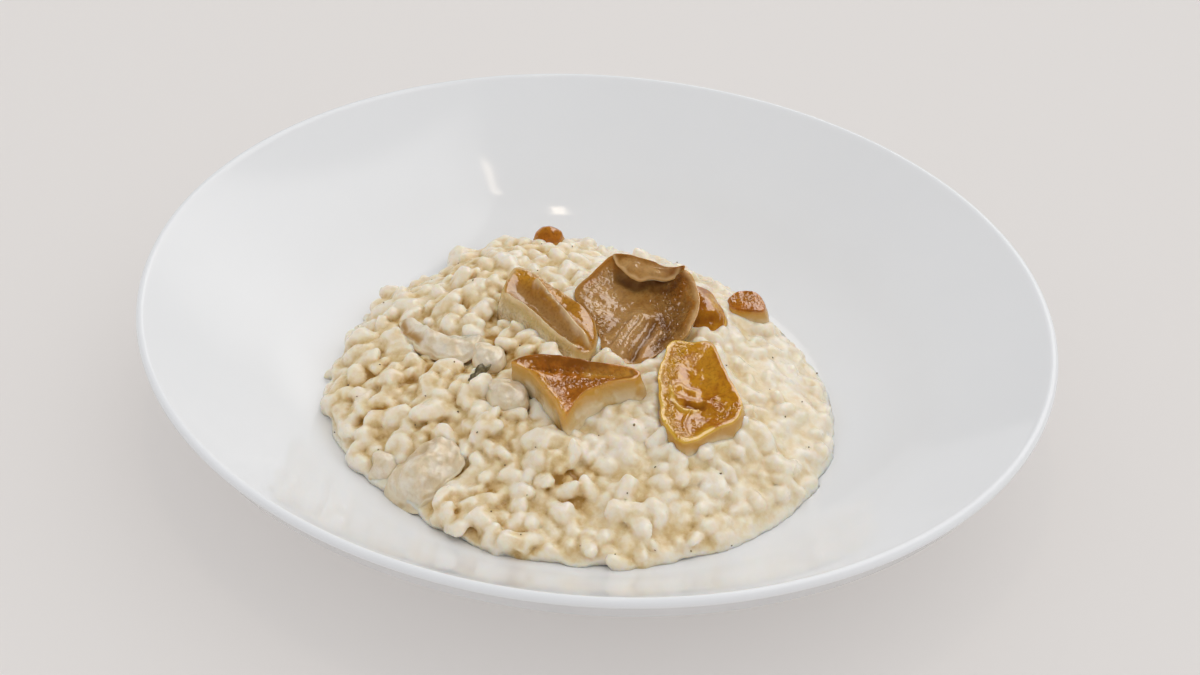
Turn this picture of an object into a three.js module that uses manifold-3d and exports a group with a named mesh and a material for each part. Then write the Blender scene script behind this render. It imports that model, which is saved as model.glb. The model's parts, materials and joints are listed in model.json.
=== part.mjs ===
// Mushroom risotto on an oval porcelain plate with high sloping sides.
// Millimetres, +Z up. The origin is the centre of the plate's foot, on the table, and +X runs
// along the plate's long axis. The toppings are laid out in the serving frame, whose X runs
// from left to right in front of the diner and whose Y runs away from the diner.

import * as THREE from 'three';
import { mergeVertices } from 'three/addons/utils/BufferGeometryUtils.js';
import Module from 'manifold-3d';

// Plate: heights, and radii along the long axis
const plateLength = 290;
const plateWidth = 257.4;
const plateHeight = 45;
const floorTop = 8; // upper face of the floor
const floorReach = 74.6; // where the flat floor ends
const slopeStart = 106.6; // where the straight side begins
const sideSlope = 0.657; // rise of the side for each millimetre outwards
const sideThickness = 4;
const lipRadius = 1.6;
const footOuter = 66;
const footInner = 61;
const footDepth = 2.6; // height of the hollow inside the foot ring
const plateSegments = 44;

// Heap of risotto
const heapRadius = 78.9;
const heapHeight = 22; // above the floor
const heapPower = 2.4; // how flat the top is
const heapShoulder = 0.6; // how round the shoulder is
const heapEdge = 1.3; // thickness of the outermost edge
const heapOutline = [ // waves of the outline: waves in a turn, cosine part, sine part
  [1, -1.1, -9.0],
  [2, 2.3, -2.9],
  [3, 0.3, -0.6],
];
const restGap = 0.35; // between any two pieces that touch
const edgePoints = 100; // points round the heap's edge
const edgeSway = 0.016; // share by which the edge wavers in and out
const edgeWave = 4.5; // length of that waver
const walkSteps = 90; // steps in which the heap's side is measured

// Grains of rice, swollen by cooking and coated
const grainCount = 470;
const grainHalf = 2.3; // half the length of a grain's straight middle
const grainRadius = 1.75;
const grainSpacing = 3.7; // least distance between the middle lines of two grains
const grainRise = 1.1; // of a grain's back above the sauce
const grainTries = 60000; // places drawn at most
const grainNear = 9; // grains with middles farther apart than this never touch
const grainEnds = [0.12, 0.88]; // shares of a grain's length where its back is raised
const sauceDip = 0.4; // of the sauce between grains
const sauceSpacing = 2.35; // least distance between two low points of the sauce
const sauceSpots = [ // round a grain: share of its length, and radii to its side
  [0, 1.05],
  [0.5, 1.05],
  [1, 1.05],
  [0, -1.05],
  [0.5, -1.05],
  [1, -1.05],
  [-0.6, 0],
  [1.6, 0],
];
const clumpRise = 1.5; // of the clumps that grains gather in
const clumpSize = 17;

// Angle from the plate's long axis to the serving frame
const servingTurn = THREE.MathUtils.degToRad(24.6);

// Toppings. at is the piece's place in the serving frame and the rest is measured from it.
// rim is the upper edge, anticlockwise from above; centre is the middle of the upper face,
// and bowl says how late the face turns up (or down) to the rim: 1 is a cone, 4 a tray.
// The side runs down into the rice, ends spread wider than the rim and moved by lean, and
// sinks below the rice's surface by sink. ridges are raised (or sunken) lines on the face.
const toppings = {
  mushroom_front: {
    at: [-5, -31, 37.5],
    rim: [
      [-19, 7.5, 0], [-14, 4, 0], [-10, -2, -0.5], [-6, -8.5, -2], [-2.5, -14.5, -3.5],
      [0.5, -9, -2], [4.5, -5.5, -1], [10.5, -2.5, 0], [18.5, -1.5, 1], [20, 1.5, 1.5],
      [14, 4.5, 1.5], [5, 6.5, 1.5], [-8.5, 10, 1], [-16, 10, 0.5],
    ],
    centre: [-1, 0.5, -1.6],
    bowl: 2.5,
    spread: 1,
    lean: [1.5, -1],
    sink: 2.5,
    ridges: [{ from: [-12, 6], to: [16, 1.5], width: 1.6, lift: -0.8 }],
    color: 0x9c5a24,
  },
  mushroom_right: {
    at: [31.5, -30, 33],
    rim: [
      [-5.5, 21, 1.5], [-8.5, 14, 1.5], [-10.5, 6.5, 1.5], [-10.5, -3.5, 1], [-10, -12.5, 0],
      [-7.5, -19.5, -1], [-3.5, -23.5, -1.5], [5, -18, -1.5], [11.5, -14, -1], [14.5, -8, -1],
      [11, 5, 0], [8, 15.5, 0.5], [6, 21, 1], [0, 20.5, 1],
    ],
    centre: [1, -5, -4.2],
    bowl: 2.2,
    spread: 0.5,
    lean: [0.8, -0.5],
    sink: 2.5,
    ridges: [{ from: [-8, -2], to: [5, -6], width: 1.8, lift: 1.6 }],
    color: 0xb86f22,
  },
  mushroom_large: {
    at: [15.5, 6, 36],
    rim: [
      [-20.5, 11.5, -3], [-17, 1, -3.5], [-13, -9, -4], [-11.5, -17, -4], [-6.5, -23, -4.5],
      [1.5, -22, -4.5], [7.5, -17, -3.5], [15.5, -12, -0.5], [19, -1, 2.5], [18, 6, 4],
      [15, 10, 7], [11, 11, 5], [3.5, 16, 4.5], [-8.5, 24, 2.5], [-13, 21, 0],
    ],
    centre: [1, 0, -4],
    bowl: 3,
    spread: -2.5,
    lean: [-1, 1],
    sink: 2.5,
    ridges: [
      { from: [-10, -15], to: [3, -4], width: 3.5, lift: 2.4 },
      { from: [3, -4], to: [14, 6], width: 3, lift: 1.4 },
    ],
    flap: {
      rim: [
        [-8.5, 24, 2], [-6.5, 18, 2.2], [-3.5, 12, 2.2], [0.5, 8, 2], [5, 8.5, 2],
        [9, 7.5, 2.2], [12.5, 9, 3.5], [14.5, 9.5, 5.5], [8.5, 13.5, 5.2], [2, 18, 4.8],
        [-4, 22, 3.8],
      ],
      centre: [2.5, 13, 4.6],
      bowl: 2,
      thickness: 2.2,
    },
    color: 0xa37f5b,
  },
  mushroom_left: {
    at: [-12.5, 6, 35.5],
    rim: [
      [-15, 7, 0.5], [-8.5, 0, 0], [-3, -7, -0.5], [1.5, -12, -1], [5, -16, -1.5],
      [8.5, -19.5, -2], [12, -19.5, -2.5], [14.5, -11.5, -2.5], [12.5, -1.5, -2], [7, 5, -1],
      [0.5, 10.5, 0], [-4, 15.5, 1], [-8, 18.5, 1.5], [-12, 19, 1.5], [-14.5, 14, 1],
    ],
    centre: [-0.5, 0, -2],
    bowl: 3,
    spread: 1.2,
    lean: [-1.6, -1.6],
    sink: 2.5,
    ridges: [{ from: [-6, 12], to: [10.5, -15], width: 2.2, lift: 3 }],
    color: 0xa5713a,
  },
  mushroom_small: {
    at: [36, 11, 30.5],
    rim: [
      [-4, -7, -1.5], [0.5, -9.5, -2], [6.5, -6.5, -2], [7.5, -1.5, -1.5], [5, 4, 0.5],
      [1.5, 8, 2], [-2.5, 9, 2.5], [-5, 4, 2.5], [-6, -2.5, 0.5],
    ],
    centre: [0.5, -0.5, 3.5],
    bowl: 2.2,
    spread: 0.6,
    lean: [0, 0],
    sink: 2.5,
    color: 0xb8813c,
  },
  mushroom_cube: {
    at: [51, 19, 27.5],
    rim: [
      [-6.5, 1.5, 0], [-5.5, -2.5, -0.5], [-0.5, -4.5, -0.5], [5.5, -4, -1],
      [5.5, 1.5, 0], [3, 4.5, 0.5], [-3, 4.5, 0.5],
    ],
    centre: [0, 0, 0.8],
    bowl: 4,
    spread: 0.6,
    lean: [0.4, -0.4],
    sink: 2.2,
    color: 0xa8714c,
  },
  mushroom_back: {
    at: [-14.5, 66, 20],
    rim: [
      [-5.5, 0.5, -0.5], [-3, -2.5, -1], [3.5, -2.5, -1], [5, 1, 0], [1, 3.5, 0.8],
      [-3, 3.5, 0],
    ],
    centre: [0, 0.5, 2],
    bowl: 2,
    spread: 0.4,
    lean: [0, 0],
    sink: 2.2,
    color: 0x9a5f38,
  },
  coated_chunk: {
    at: [-49, -53, 19.5],
    rim: [
      [-12, -0.5, -3.5], [-9, -5, -4.5], [-1.5, -10.5, -4], [3, -8, -2], [7, -3.5, 0.5],
      [10.5, 2, 3], [8.5, 7.5, 4.5], [3.5, 10, 4.5], [-2.5, 7, 2.5], [-7.5, 3.5, 0],
    ],
    centre: [0, -0.5, 3.6],
    bowl: 2.6,
    spread: 0.6,
    lean: [-0.6, -0.6],
    sink: 2.2,
    color: 0xe2d0ae,
  },
  coated_button: {
    at: [-62.5, -46.5, 16.5],
    rim: [
      [-4.5, 3, -1.5], [-3.5, -2, -2], [1, -5, -1.5], [4, -2.5, 0], [3.5, 1.5, 1.5],
      [-0.5, 4, 1],
    ],
    centre: [0, -0.2, 2.4],
    bowl: 2.2,
    spread: 0.4,
    lean: [-0.3, -0.3],
    sink: 2,
    color: 0xe4d4b4,
  },
  coated_slice: {
    at: [-47.5, 1.5, 26.5],
    rim: [
      [-13.5, 12.5, -2.2], [-12.5, 5, -2], [-7, -2.5, -1], [-0.5, -8, 0.2], [6.5, -11, 1.2],
      [11.5, -8.5, 2.2], [13, -2, 2.6], [8.5, -2.5, 2.8], [3, -2.5, 2.2], [-3.5, 2.5, 1],
      [-8.5, 9, -0.6],
    ],
    centre: [-1.5, -2, 2.2],
    bowl: 2,
    spread: 0.4,
    lean: [-0.4, -0.4],
    sink: 2.2,
    color: 0xe0cca6,
  },
  coated_cube: {
    at: [-31.5, -10.5, 30.2],
    rim: [
      [-4.6, 3.5, 0], [-4, -2.8, -0.5], [2.5, -5, 0], [4.6, -1.5, 0.6], [3.5, 2.4, 0.8],
      [-1, 3.8, 0.4],
    ],
    centre: [0, -0.2, 1.2],
    bowl: 3.5,
    spread: 0.5,
    lean: [0, -0.3],
    sink: 2,
    color: 0xe8dabd,
  },
  coated_block: {
    at: [-24.5, -29, 30.4],
    rim: [
      [-6.8, 3.2, 0], [-5.5, -2.4, -0.6], [0.5, -5.5, -0.8], [4.8, -4, -0.5], [5, 1, 0.6],
      [2.5, 4, 0.8], [-3.5, 4.2, 0.5],
    ],
    centre: [-0.3, -0.3, 1.3],
    bowl: 3,
    spread: 0.5,
    lean: [0, -0.3],
    sink: 2,
    color: 0xe6d6b6,
  },
};
const longRim = 8; // a rim with more corners than this gets the finer net of faces
const fineSteps = 24;
const coarseSteps = 15;
const edgeDrop = 0.7; // height of a topping's rounded edge
const spaceAbove = 6; // how far the space cut for a topping reaches above its face

const wasm = await Module();
wasm.setup();

// ---------- numbers ----------

// A repeatable sequence of random numbers between 0 and 1.
function randomFrom(seed) {
  let state = seed;
  return () => {
    state = (state * 1664525 + 1013904223) % 4294967296;
    return state / 4294967296;
  };
}

// Smooth noise between -1 and 1 over the plane, one bump for each unit square.
function planeNoise(seed) {
  const size = 64;
  const draw = randomFrom(seed);
  const knots = Array.from({ length: size * size }, () => 2 * draw() - 1);
  const knot = (i, j) => knots[((i % size) + size) % size + (((j % size) + size) % size) * size];
  return (x, y) => {
    const i = Math.floor(x);
    const j = Math.floor(y);
    const u = THREE.MathUtils.smoothstep(x - i, 0, 1);
    const v = THREE.MathUtils.smoothstep(y - j, 0, 1);
    const near = THREE.MathUtils.lerp(knot(i, j), knot(i + 1, j), u);
    const far = THREE.MathUtils.lerp(knot(i, j + 1), knot(i + 1, j + 1), u);
    return THREE.MathUtils.lerp(near, far, v);
  };
}

// Distance from the point [x, y] to the line between two points.
function distanceToLine([x, y], [ax, ay], [bx, by]) {
  const dx = bx - ax;
  const dy = by - ay;
  const along = ((x - ax) * dx + (y - ay) * dy) / (dx * dx + dy * dy);
  const t = THREE.MathUtils.clamp(along, 0, 1);
  return Math.hypot(x - ax - t * dx, y - ay - t * dy);
}

// ---------- solids ----------

function geometryFrom(positions, indices) {
  const geometry = new THREE.BufferGeometry();
  geometry.setAttribute('position', new THREE.Float32BufferAttribute(positions, 3));
  geometry.setIndex(indices);
  geometry.computeVertexNormals();
  return geometry;
}

function solidFrom(geometry) {
  const bare = geometry.clone();
  bare.deleteAttribute('normal');
  bare.deleteAttribute('uv');
  const merged = mergeVertices(bare, 1e-4);
  const vertProperties = new Float32Array(merged.attributes.position.array);
  const triVerts = new Uint32Array(merged.index.array);
  return new wasm.Manifold(new wasm.Mesh({ numProp: 3, vertProperties, triVerts }));
}

// The largest body of a solid, without the scraps that a cut can leave.
function largestBody(solid) {
  const bodies = solid.decompose();
  return bodies.reduce((best, body) => (body.volume() > best.volume() ? body : best));
}

function geometryOf(solid) {
  const mesh = solid.getMesh();
  return geometryFrom(Array.from(mesh.vertProperties), Array.from(mesh.triVerts));
}

// A closed body from rings of points that run anticlockwise, seen from above, from the point
// top, out and down over the edge, and in again to the point bottom.
function bodyOfRings(top, rings, bottom) {
  const count = rings[0].length;
  const positions = [...top, ...rings.flat(2), ...bottom];
  const last = 1 + rings.length * count;
  const indices = [];
  for (let i = 0; i < count; i++) {
    const j = (i + 1) % count;
    indices.push(0, 1 + i, 1 + j);
    for (let r = 0; r + 1 < rings.length; r++) {
      const inner = 1 + r * count;
      const outer = inner + count;
      indices.push(inner + i, outer + i, outer + j);
      indices.push(inner + i, outer + j, inner + j);
    }
    const lowest = last - count;
    indices.push(lowest + i, last, lowest + j);
  }
  return geometryFrom(positions, indices);
}

// ---------- plate ----------

// Height of the plate's upper face at a distance along its long axis.
function plateFace(reach) {
  const bend = slopeStart - floorReach;
  const t = THREE.MathUtils.clamp((reach - floorReach) / bend, 0, 1);
  return floorTop + sideSlope * (bend * t * t / 2 + Math.max(reach - slopeStart, 0));
}

function plateGeometry() {
  const outer = plateLength / 2;
  const lipCentre = outer - lipRadius;
  const profile = [[0, floorTop]];
  for (let i = 0; i <= 6; i++) {
    const reach = THREE.MathUtils.lerp(floorReach, slopeStart, i / 6);
    profile.push([reach, plateFace(reach)]);
  }
  profile.push([lipCentre - lipRadius, plateFace(lipCentre - lipRadius)]);
  for (let i = 0; i <= 4; i++) { // the rounded lip, from its top out and under
    const angle = THREE.MathUtils.degToRad(90 - 45 * i);
    const x = lipCentre + lipRadius * Math.cos(angle);
    profile.push([x, plateHeight - lipRadius + lipRadius * Math.sin(angle)]);
  }
  for (const reach of [slopeStart, 94, 80, footOuter + 6]) { // under the side
    profile.push([reach + 2, plateFace(reach) - sideThickness]);
  }
  profile.push([footOuter + 1, footDepth], [footOuter, 0], [footInner, 0]);
  profile.push([footInner - 1.5, footDepth], [0, footDepth]);
  const points = profile.reverse().map(([x, y]) => new THREE.Vector2(x, y));
  const plate = new THREE.LatheGeometry(points, plateSegments);
  plate.rotateX(Math.PI / 2); // the lathe's axis becomes +Z
  plate.scale(1, plateWidth / plateLength, 1);
  plate.computeVertexNormals();
  return plate;
}

// Height of the plate's upper face under a point in the plate's own frame.
function plateFaceAt(x, y) {
  return plateFace(Math.hypot(x, y * plateLength / plateWidth));
}

// ---------- heap ----------

function heapReach(angle) {
  let reach = heapRadius;
  for (const [waves, cosine, sine] of heapOutline) {
    reach += cosine * Math.cos(waves * angle) + sine * Math.sin(waves * angle);
  }
  return reach;
}

// Height of the bare heap above the floor at a share of its reach.
function heapProfile(share) {
  return heapHeight * (1 - share ** heapPower) ** heapShoulder;
}

// The bare heap's surface at a share of the reach in a direction, as [x, y, z].
function heapPoint(share, angle) {
  const x = share * heapReach(angle) * Math.cos(angle);
  const y = share * heapReach(angle) * Math.sin(angle);
  const base = plateFaceAt(x, y);
  const rise = heapProfile(share) + (base - floorTop) * share ** 2;
  return [x, y, Math.max(floorTop + rise, base)];
}

// The same height over a point of the serving frame.
function heapTopUnder(x, y) {
  const angle = Math.atan2(y, x) + servingTurn;
  const share = Math.min(Math.hypot(x, y) / heapReach(angle), 1);
  return heapPoint(share, angle)[2];
}

// A table from the way walked down the heap's side, out of its whole length, to the share
// of the reach, so that what is laid out on a flat disc keeps its size on the heap.
function walkTable() {
  const table = [[0, 0]];
  let walked = 0;
  for (let i = 1; i <= walkSteps; i++) {
    const before = 1 - (1 - (i - 1) / walkSteps) ** 2;
    const after = 1 - (1 - i / walkSteps) ** 2;
    walked += Math.hypot((after - before) * heapRadius, heapProfile(after) - heapProfile(before));
    table.push([walked, after]);
  }
  return table;
}
const walk = walkTable();
const walkLength = walk[walk.length - 1][0];

function shareAfter(walked) {
  let i = 1;
  while (i < walk.length - 1 && walk[i][0] < walked) i += 1;
  const t = (walked - walk[i - 1][0]) / (walk[i][0] - walk[i - 1][0]);
  return THREE.MathUtils.lerp(walk[i - 1][1], walk[i][1], THREE.MathUtils.clamp(t, 0, 1));
}

// A point of the flat disc [u, v] lifted onto the heap and raised off it by rise.
function ontoHeap(u, v, rise) {
  const step = 0.5; // way back towards the middle, over which the slope is taken
  const angle = Math.atan2(v, u);
  const walked = Math.min(Math.hypot(u, v), walkLength);
  const here = new THREE.Vector3(...heapPoint(shareAfter(walked), angle));
  const inner = new THREE.Vector3(...heapPoint(shareAfter(Math.max(walked - step, 0)), angle));
  const slope = here.clone().sub(inner);
  const flat = Math.hypot(slope.x, slope.y) || step;
  const normal = new THREE.Vector3(-slope.z * Math.cos(angle), -slope.z * Math.sin(angle), flat);
  return here.addScaledVector(normal.normalize(), rise).toArray();
}

// Grains as middle lines on the flat disc, drawn at random and kept clear of each other.
function layGrains() {
  const draw = randomFrom(11);
  const grains = [];
  for (let tries = 0; tries < grainTries && grains.length < grainCount; tries++) {
    const reach = (walkLength - grainRadius) * Math.sqrt(draw());
    const place = 2 * Math.PI * draw();
    const turn = Math.PI * draw();
    const half = grainHalf * (0.75 + 0.4 * draw());
    const [x, y] = [reach * Math.cos(place), reach * Math.sin(place)];
    const [dx, dy] = [half * Math.cos(turn), half * Math.sin(turn)];
    const line = [[x - dx, y - dy], [x + dx, y + dy]];
    const inside = line.every(([a, b]) => Math.hypot(a, b) < walkLength - grainRadius);
    const clear = grains.every(({ ends: [a, b] }) => {
      if (Math.hypot(x - (a[0] + b[0]) / 2, y - (a[1] + b[1]) / 2) > grainNear) return true;
      const gaps = [...line, [x, y]].map((p) => distanceToLine(p, a, b));
      gaps.push(...[a, b].map((p) => distanceToLine(p, ...line)));
      return Math.min(...gaps) > grainSpacing;
    });
    if (inside && clear) grains.push({ ends: line, turn, rise: grainRise * (0.7 + 0.6 * draw()) });
  }
  return grains;
}

// Triangles of a set of points by the empty-circle rule.
function netOver(points) {
  const far = 1e4;
  const all = [...points, [-far, -far], [far, -far], [0, far]];
  const count = points.length;
  const circled = (a, b, c) => {
    const [ax, ay] = all[a];
    const [bx, by] = [all[b][0] - ax, all[b][1] - ay];
    const [cx, cy] = [all[c][0] - ax, all[c][1] - ay];
    const double = 2 * (bx * cy - by * cx);
    const x = (cy * (bx * bx + by * by) - by * (cx * cx + cy * cy)) / double;
    const y = (bx * (cx * cx + cy * cy) - cx * (bx * bx + by * by)) / double;
    return { corners: [a, b, c], x: x + ax, y: y + ay, reach: x * x + y * y };
  };
  let triangles = [circled(count, count + 1, count + 2)];
  for (let i = count - 1; i >= 0; i--) { // the evenly spaced edge points come last
    const [x, y] = all[i];
    const hole = new Map();
    triangles = triangles.filter((triangle) => {
      if ((x - triangle.x) ** 2 + (y - triangle.y) ** 2 >= triangle.reach) return true;
      const [a, b, c] = triangle.corners;
      for (const [p, q] of [[a, b], [b, c], [c, a]]) {
        const key = Math.min(p, q) * all.length + Math.max(p, q);
        if (!hole.delete(key)) hole.set(key, [p, q]);
      }
      return false;
    });
    for (const [p, q] of hole.values()) triangles.push(circled(p, q, i));
  }
  return triangles.map((triangle) => triangle.corners).filter((c) => Math.max(...c) < count);
}

function heapGeometry() {
  const draw = randomFrom(23);
  const clumps = planeNoise(5);
  const lumps = planeNoise(9);
  const clumpAt = (u, v) => clumpRise * clumps(u / clumpSize + 20, v / clumpSize + 20);
  const flat = [];
  const rises = [];
  const cell = 4;
  const taken = new Map(); // points by the square cell that they are in
  const square = (u, v) => `${Math.floor(u / cell)},${Math.floor(v / cell)}`;
  const crowded = (u, v, least) => {
    for (const du of [-cell, 0, cell]) {
      for (const dv of [-cell, 0, cell]) {
        const near = taken.get(square(u + du, v + dv)) || [];
        if (near.some(([a, b]) => Math.hypot(a - u, b - v) < least)) return true;
      }
    }
    return false;
  };
  const put = (u, v, rise) => {
    flat.push([u, v]);
    rises.push(rise + clumpAt(u, v));
    const key = square(u, v);
    taken.set(key, [...(taken.get(key) || []), [u, v]]);
  };
  for (let i = 0; i < edgePoints; i++) { // the edge, which the side hangs from
    const angle = 2 * Math.PI * i / edgePoints;
    put(walkLength * Math.cos(angle), walkLength * Math.sin(angle), 0);
    rises[i] = 0;
  }
  const grains = layGrains();
  for (const { ends, rise } of grains) {
    for (const share of grainEnds) {
      const u = THREE.MathUtils.lerp(ends[0][0], ends[1][0], share);
      const v = THREE.MathUtils.lerp(ends[0][1], ends[1][1], share);
      put(u, v, rise * (0.9 + 0.2 * draw()));
    }
  }
  for (const grain of grains) { // the sauce round each grain
    const [a, b] = grain.ends;
    for (const [share, away] of sauceSpots) {
      const side = away * grainRadius;
      const u = THREE.MathUtils.lerp(a[0], b[0], share) - side * Math.sin(grain.turn);
      const v = THREE.MathUtils.lerp(a[1], b[1], share) + side * Math.cos(grain.turn);
      const inside = Math.hypot(u, v) < walkLength - 1.2;
      const onGrain = grains.some((other) => other !== grain
        && distanceToLine([u, v], ...other.ends) < grainRadius * 0.75);
      if (inside && !onGrain && !crowded(u, v, sauceSpacing)) put(u, v, -sauceDip * (0.5 + draw()));
    }
  }

  const positions = [];
  flat.forEach(([u, v], i) => {
    const shape = ontoHeap(u, v, rises[i]);
    if (i < edgePoints) { // the edge wavers in and out with the grains along it
      const sway = 1 + edgeSway * lumps(u / edgeWave + 30, v / edgeWave + 30);
      shape[0] *= sway;
      shape[1] *= sway;
    }
    const lowest = plateFaceAt(shape[0], shape[1]) + restGap + heapEdge;
    shape[2] = Math.max(shape[2], lowest);
    positions.push(...shape);
  });
  const indices = netOver(flat).flat();

  const first = flat.length; // the underside: three rings and a middle point
  const shares = [1, 0.9, 0.8];
  shares.forEach((share) => {
    for (let i = 0; i < edgePoints; i++) {
      const x = positions[3 * i] * share;
      const y = positions[3 * i + 1] * share;
      positions.push(x, y, plateFaceAt(x, y) + restGap);
    }
  });
  positions.push(0, 0, floorTop + restGap);
  const middle = first + shares.length * edgePoints;
  for (let i = 0; i < edgePoints; i++) {
    const j = (i + 1) % edgePoints;
    indices.push(j, i, first + i, j, first + i, first + j);
    for (let r = 0; r + 1 < shares.length; r++) {
      const outer = first + r * edgePoints;
      const inner = outer + edgePoints;
      indices.push(outer + j, outer + i, inner + i, outer + j, inner + i, inner + j);
    }
    indices.push(middle - edgePoints + j, middle - edgePoints + i, middle);
  }
  return geometryFrom(positions, indices);
}

// ---------- toppings ----------

function ridgeLift(ridges, x, y) {
  return ridges.reduce((sum, { from, to, width, lift }) => {
    const away = distanceToLine([x, y], from, to) / width;
    return sum + lift * Math.exp(-away * away);
  }, 0);
}

// Points round a closed rim, moved outwards by grow, and the same points drawn in towards the
// centre on the face that runs from the centre to the rim.
function rimRings({ rim, centre, bowl, ridges = [] }, steps, shares, grow) {
  const corners = rim.map((corner) => new THREE.Vector3(...corner));
  const curve = new THREE.CatmullRomCurve3(corners, true, 'centripetal');
  const edge = curve.getSpacedPoints(steps).slice(0, steps);
  const wide = edge.map((point, i) => {
    const before = edge[(i + steps - 1) % steps];
    const after = edge[(i + 1) % steps];
    const out = new THREE.Vector3(after.y - before.y, before.x - after.x, 0).normalize();
    return point.clone().addScaledVector(out, grow);
  });
  return shares.map((share) => wide.map((point) => {
    const x = THREE.MathUtils.lerp(centre[0], point.x, share);
    const y = THREE.MathUtils.lerp(centre[1], point.y, share);
    const z = THREE.MathUtils.lerp(centre[2], point.z, share ** bowl);
    return [x, y, z + (1 - share ** 8) * ridgeLift(ridges, x, y)];
  }));
}

// A topping from its face down to its foot in the rice. With grow it is the space that the
// topping needs, with the gap round it, open upwards.
function toppingGeometry(topping, grow = 0) {
  const { at, centre, spread, lean, sink, rim } = topping;
  const steps = rim.length > longRim ? fineSteps : coarseSteps;
  const open = grow ? spaceAbove : 0;
  const shares = grow ? [1] : [0.3, 0.58, 0.8, 0.94];
  const face = rimRings(topping, steps, shares, grow);
  const edge = rimRings(topping, steps, [1], grow)[0];
  const rings = face.map((ring) => ring.map(([x, y, z]) => [x, y, z + open]));
  const footAt = (x, y, deeper) => {
    const ground = heapTopUnder(at[0] + x, at[1] + y) - at[2];
    return ground - sink - deeper;
  };
  rings.push(edge.map(([x, y, z]) => [x, y, z - edgeDrop]));
  const foot = edge.map(([x, y]) => {
    const wider = 1 + spread / Math.hypot(x - centre[0], y - centre[1]);
    const footX = centre[0] + (x - centre[0]) * wider + lean[0];
    const footY = centre[1] + (y - centre[1]) * wider + lean[1];
    return [footX, footY];
  });
  const shoulder = foot.map(([x, y], i) => { // just above the foot
    const [rimX, rimY, rimZ] = edge[i];
    const low = footAt(x, y, grow);
    return [
      THREE.MathUtils.lerp(rimX, x, 0.8),
      THREE.MathUtils.lerp(rimY, y, 0.8),
      THREE.MathUtils.lerp(Math.max(rimZ - edgeDrop, low + 1), low, 0.6),
    ];
  });
  rings.push(shoulder);
  for (const share of [0.9, 0.45]) {
    rings.push(foot.map(([x, y]) => {
      const px = THREE.MathUtils.lerp(centre[0] + lean[0], x, share);
      const py = THREE.MathUtils.lerp(centre[1] + lean[1], y, share);
      return [px, py, footAt(px, py, grow)];
    }));
  }
  const crown = centre[2] + open + ridgeLift(topping.ridges || [], ...centre);
  const top = [centre[0], centre[1], crown];
  const bottomX = centre[0] + lean[0];
  const bottomY = centre[1] + lean[1];
  return bodyOfRings(top, rings, [bottomX, bottomY, footAt(bottomX, bottomY, grow)]);
}

// The thin flap of a cap that has curled over.
function flapGeometry({ rim, centre, bowl, thickness }, grow = 0) {
  const shape = { rim, centre, bowl };
  const upper = rimRings(shape, coarseSteps, [0.5, 0.92], grow);
  const edge = rimRings(shape, coarseSteps, [1], grow)[0];
  const lift = (ring, by) => ring.map(([x, y, z]) => [x, y, z + by]);
  const rings = [
    ...upper.map((ring) => lift(ring, grow)),
    lift(edge, -thickness / 2),
    lift(upper[1], -thickness - grow),
    lift(upper[0], -thickness - grow),
  ];
  const top = [centre[0], centre[1], centre[2] + grow];
  return bodyOfRings(top, rings, [centre[0], centre[1], centre[2] - thickness - grow]);
}

function placed(geometry, [x, y, z]) {
  return solidFrom(geometry).translate([x, y, z]);
}

// ---------- the dish ----------

const dish = new THREE.Group();

const plate = new THREE.Mesh(
  plateGeometry(),
  new THREE.MeshStandardMaterial({ color: 0xeeeeed, roughness: 0.12, metalness: 0 }),
);
plate.name = 'plate';
dish.add(plate);

const served = new THREE.Group(); // everything laid out in the serving frame
served.rotation.z = servingTurn;
dish.add(served);

let heap = solidFrom(heapGeometry()).rotate([0, 0, -THREE.MathUtils.radToDeg(servingTurn)]);
const spaces = [];
for (const [name, topping] of Object.entries(toppings)) {
  const { at, flap, color } = topping;
  let solid = placed(toppingGeometry(topping), at);
  let space = placed(toppingGeometry(topping, restGap), at);
  if (flap) {
    solid = solid.add(placed(flapGeometry(flap), at));
    space = space.add(placed(flapGeometry(flap, restGap), at));
  }
  for (const taken of spaces) solid = solid.subtract(taken);
  solid = largestBody(solid);
  heap = heap.subtract(space);
  spaces.push(space);
  const mesh = new THREE.Mesh(
    geometryOf(solid.translate(at.map((value) => -value))),
    new THREE.MeshStandardMaterial({ color, roughness: 0.35, metalness: 0 }),
  );
  mesh.name = name;
  mesh.position.set(...at);
  served.add(mesh);
}

const risotto = new THREE.Mesh(
  geometryOf(largestBody(heap)),
  new THREE.MeshStandardMaterial({ color: 0xdfd1b3, roughness: 0.4, metalness: 0 }),
);
risotto.name = 'risotto';
served.add(risotto);

export default dish;
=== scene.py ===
import json
import math

import bmesh
import bpy
import numpy as np
from mathutils import Matrix, Vector, noise


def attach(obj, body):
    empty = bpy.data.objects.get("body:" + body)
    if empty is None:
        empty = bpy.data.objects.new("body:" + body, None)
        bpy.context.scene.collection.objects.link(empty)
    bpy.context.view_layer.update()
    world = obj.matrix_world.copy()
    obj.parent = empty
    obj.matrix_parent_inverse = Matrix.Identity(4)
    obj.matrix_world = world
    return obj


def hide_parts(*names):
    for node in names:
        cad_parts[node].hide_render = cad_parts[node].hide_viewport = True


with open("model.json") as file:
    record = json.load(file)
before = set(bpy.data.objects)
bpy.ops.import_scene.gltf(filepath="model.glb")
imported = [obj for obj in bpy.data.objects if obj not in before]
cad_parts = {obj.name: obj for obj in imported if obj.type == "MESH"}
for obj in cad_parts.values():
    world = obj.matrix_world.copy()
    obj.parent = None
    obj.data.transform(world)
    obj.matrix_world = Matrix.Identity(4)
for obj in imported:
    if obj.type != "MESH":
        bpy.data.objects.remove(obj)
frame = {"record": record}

noise.seed_set(7)  # its vectors start from the clock otherwise
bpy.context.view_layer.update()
mm = 0.001
servingTurn = math.radians(24.6)  # from the plate's long axis to the serving frame
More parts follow.
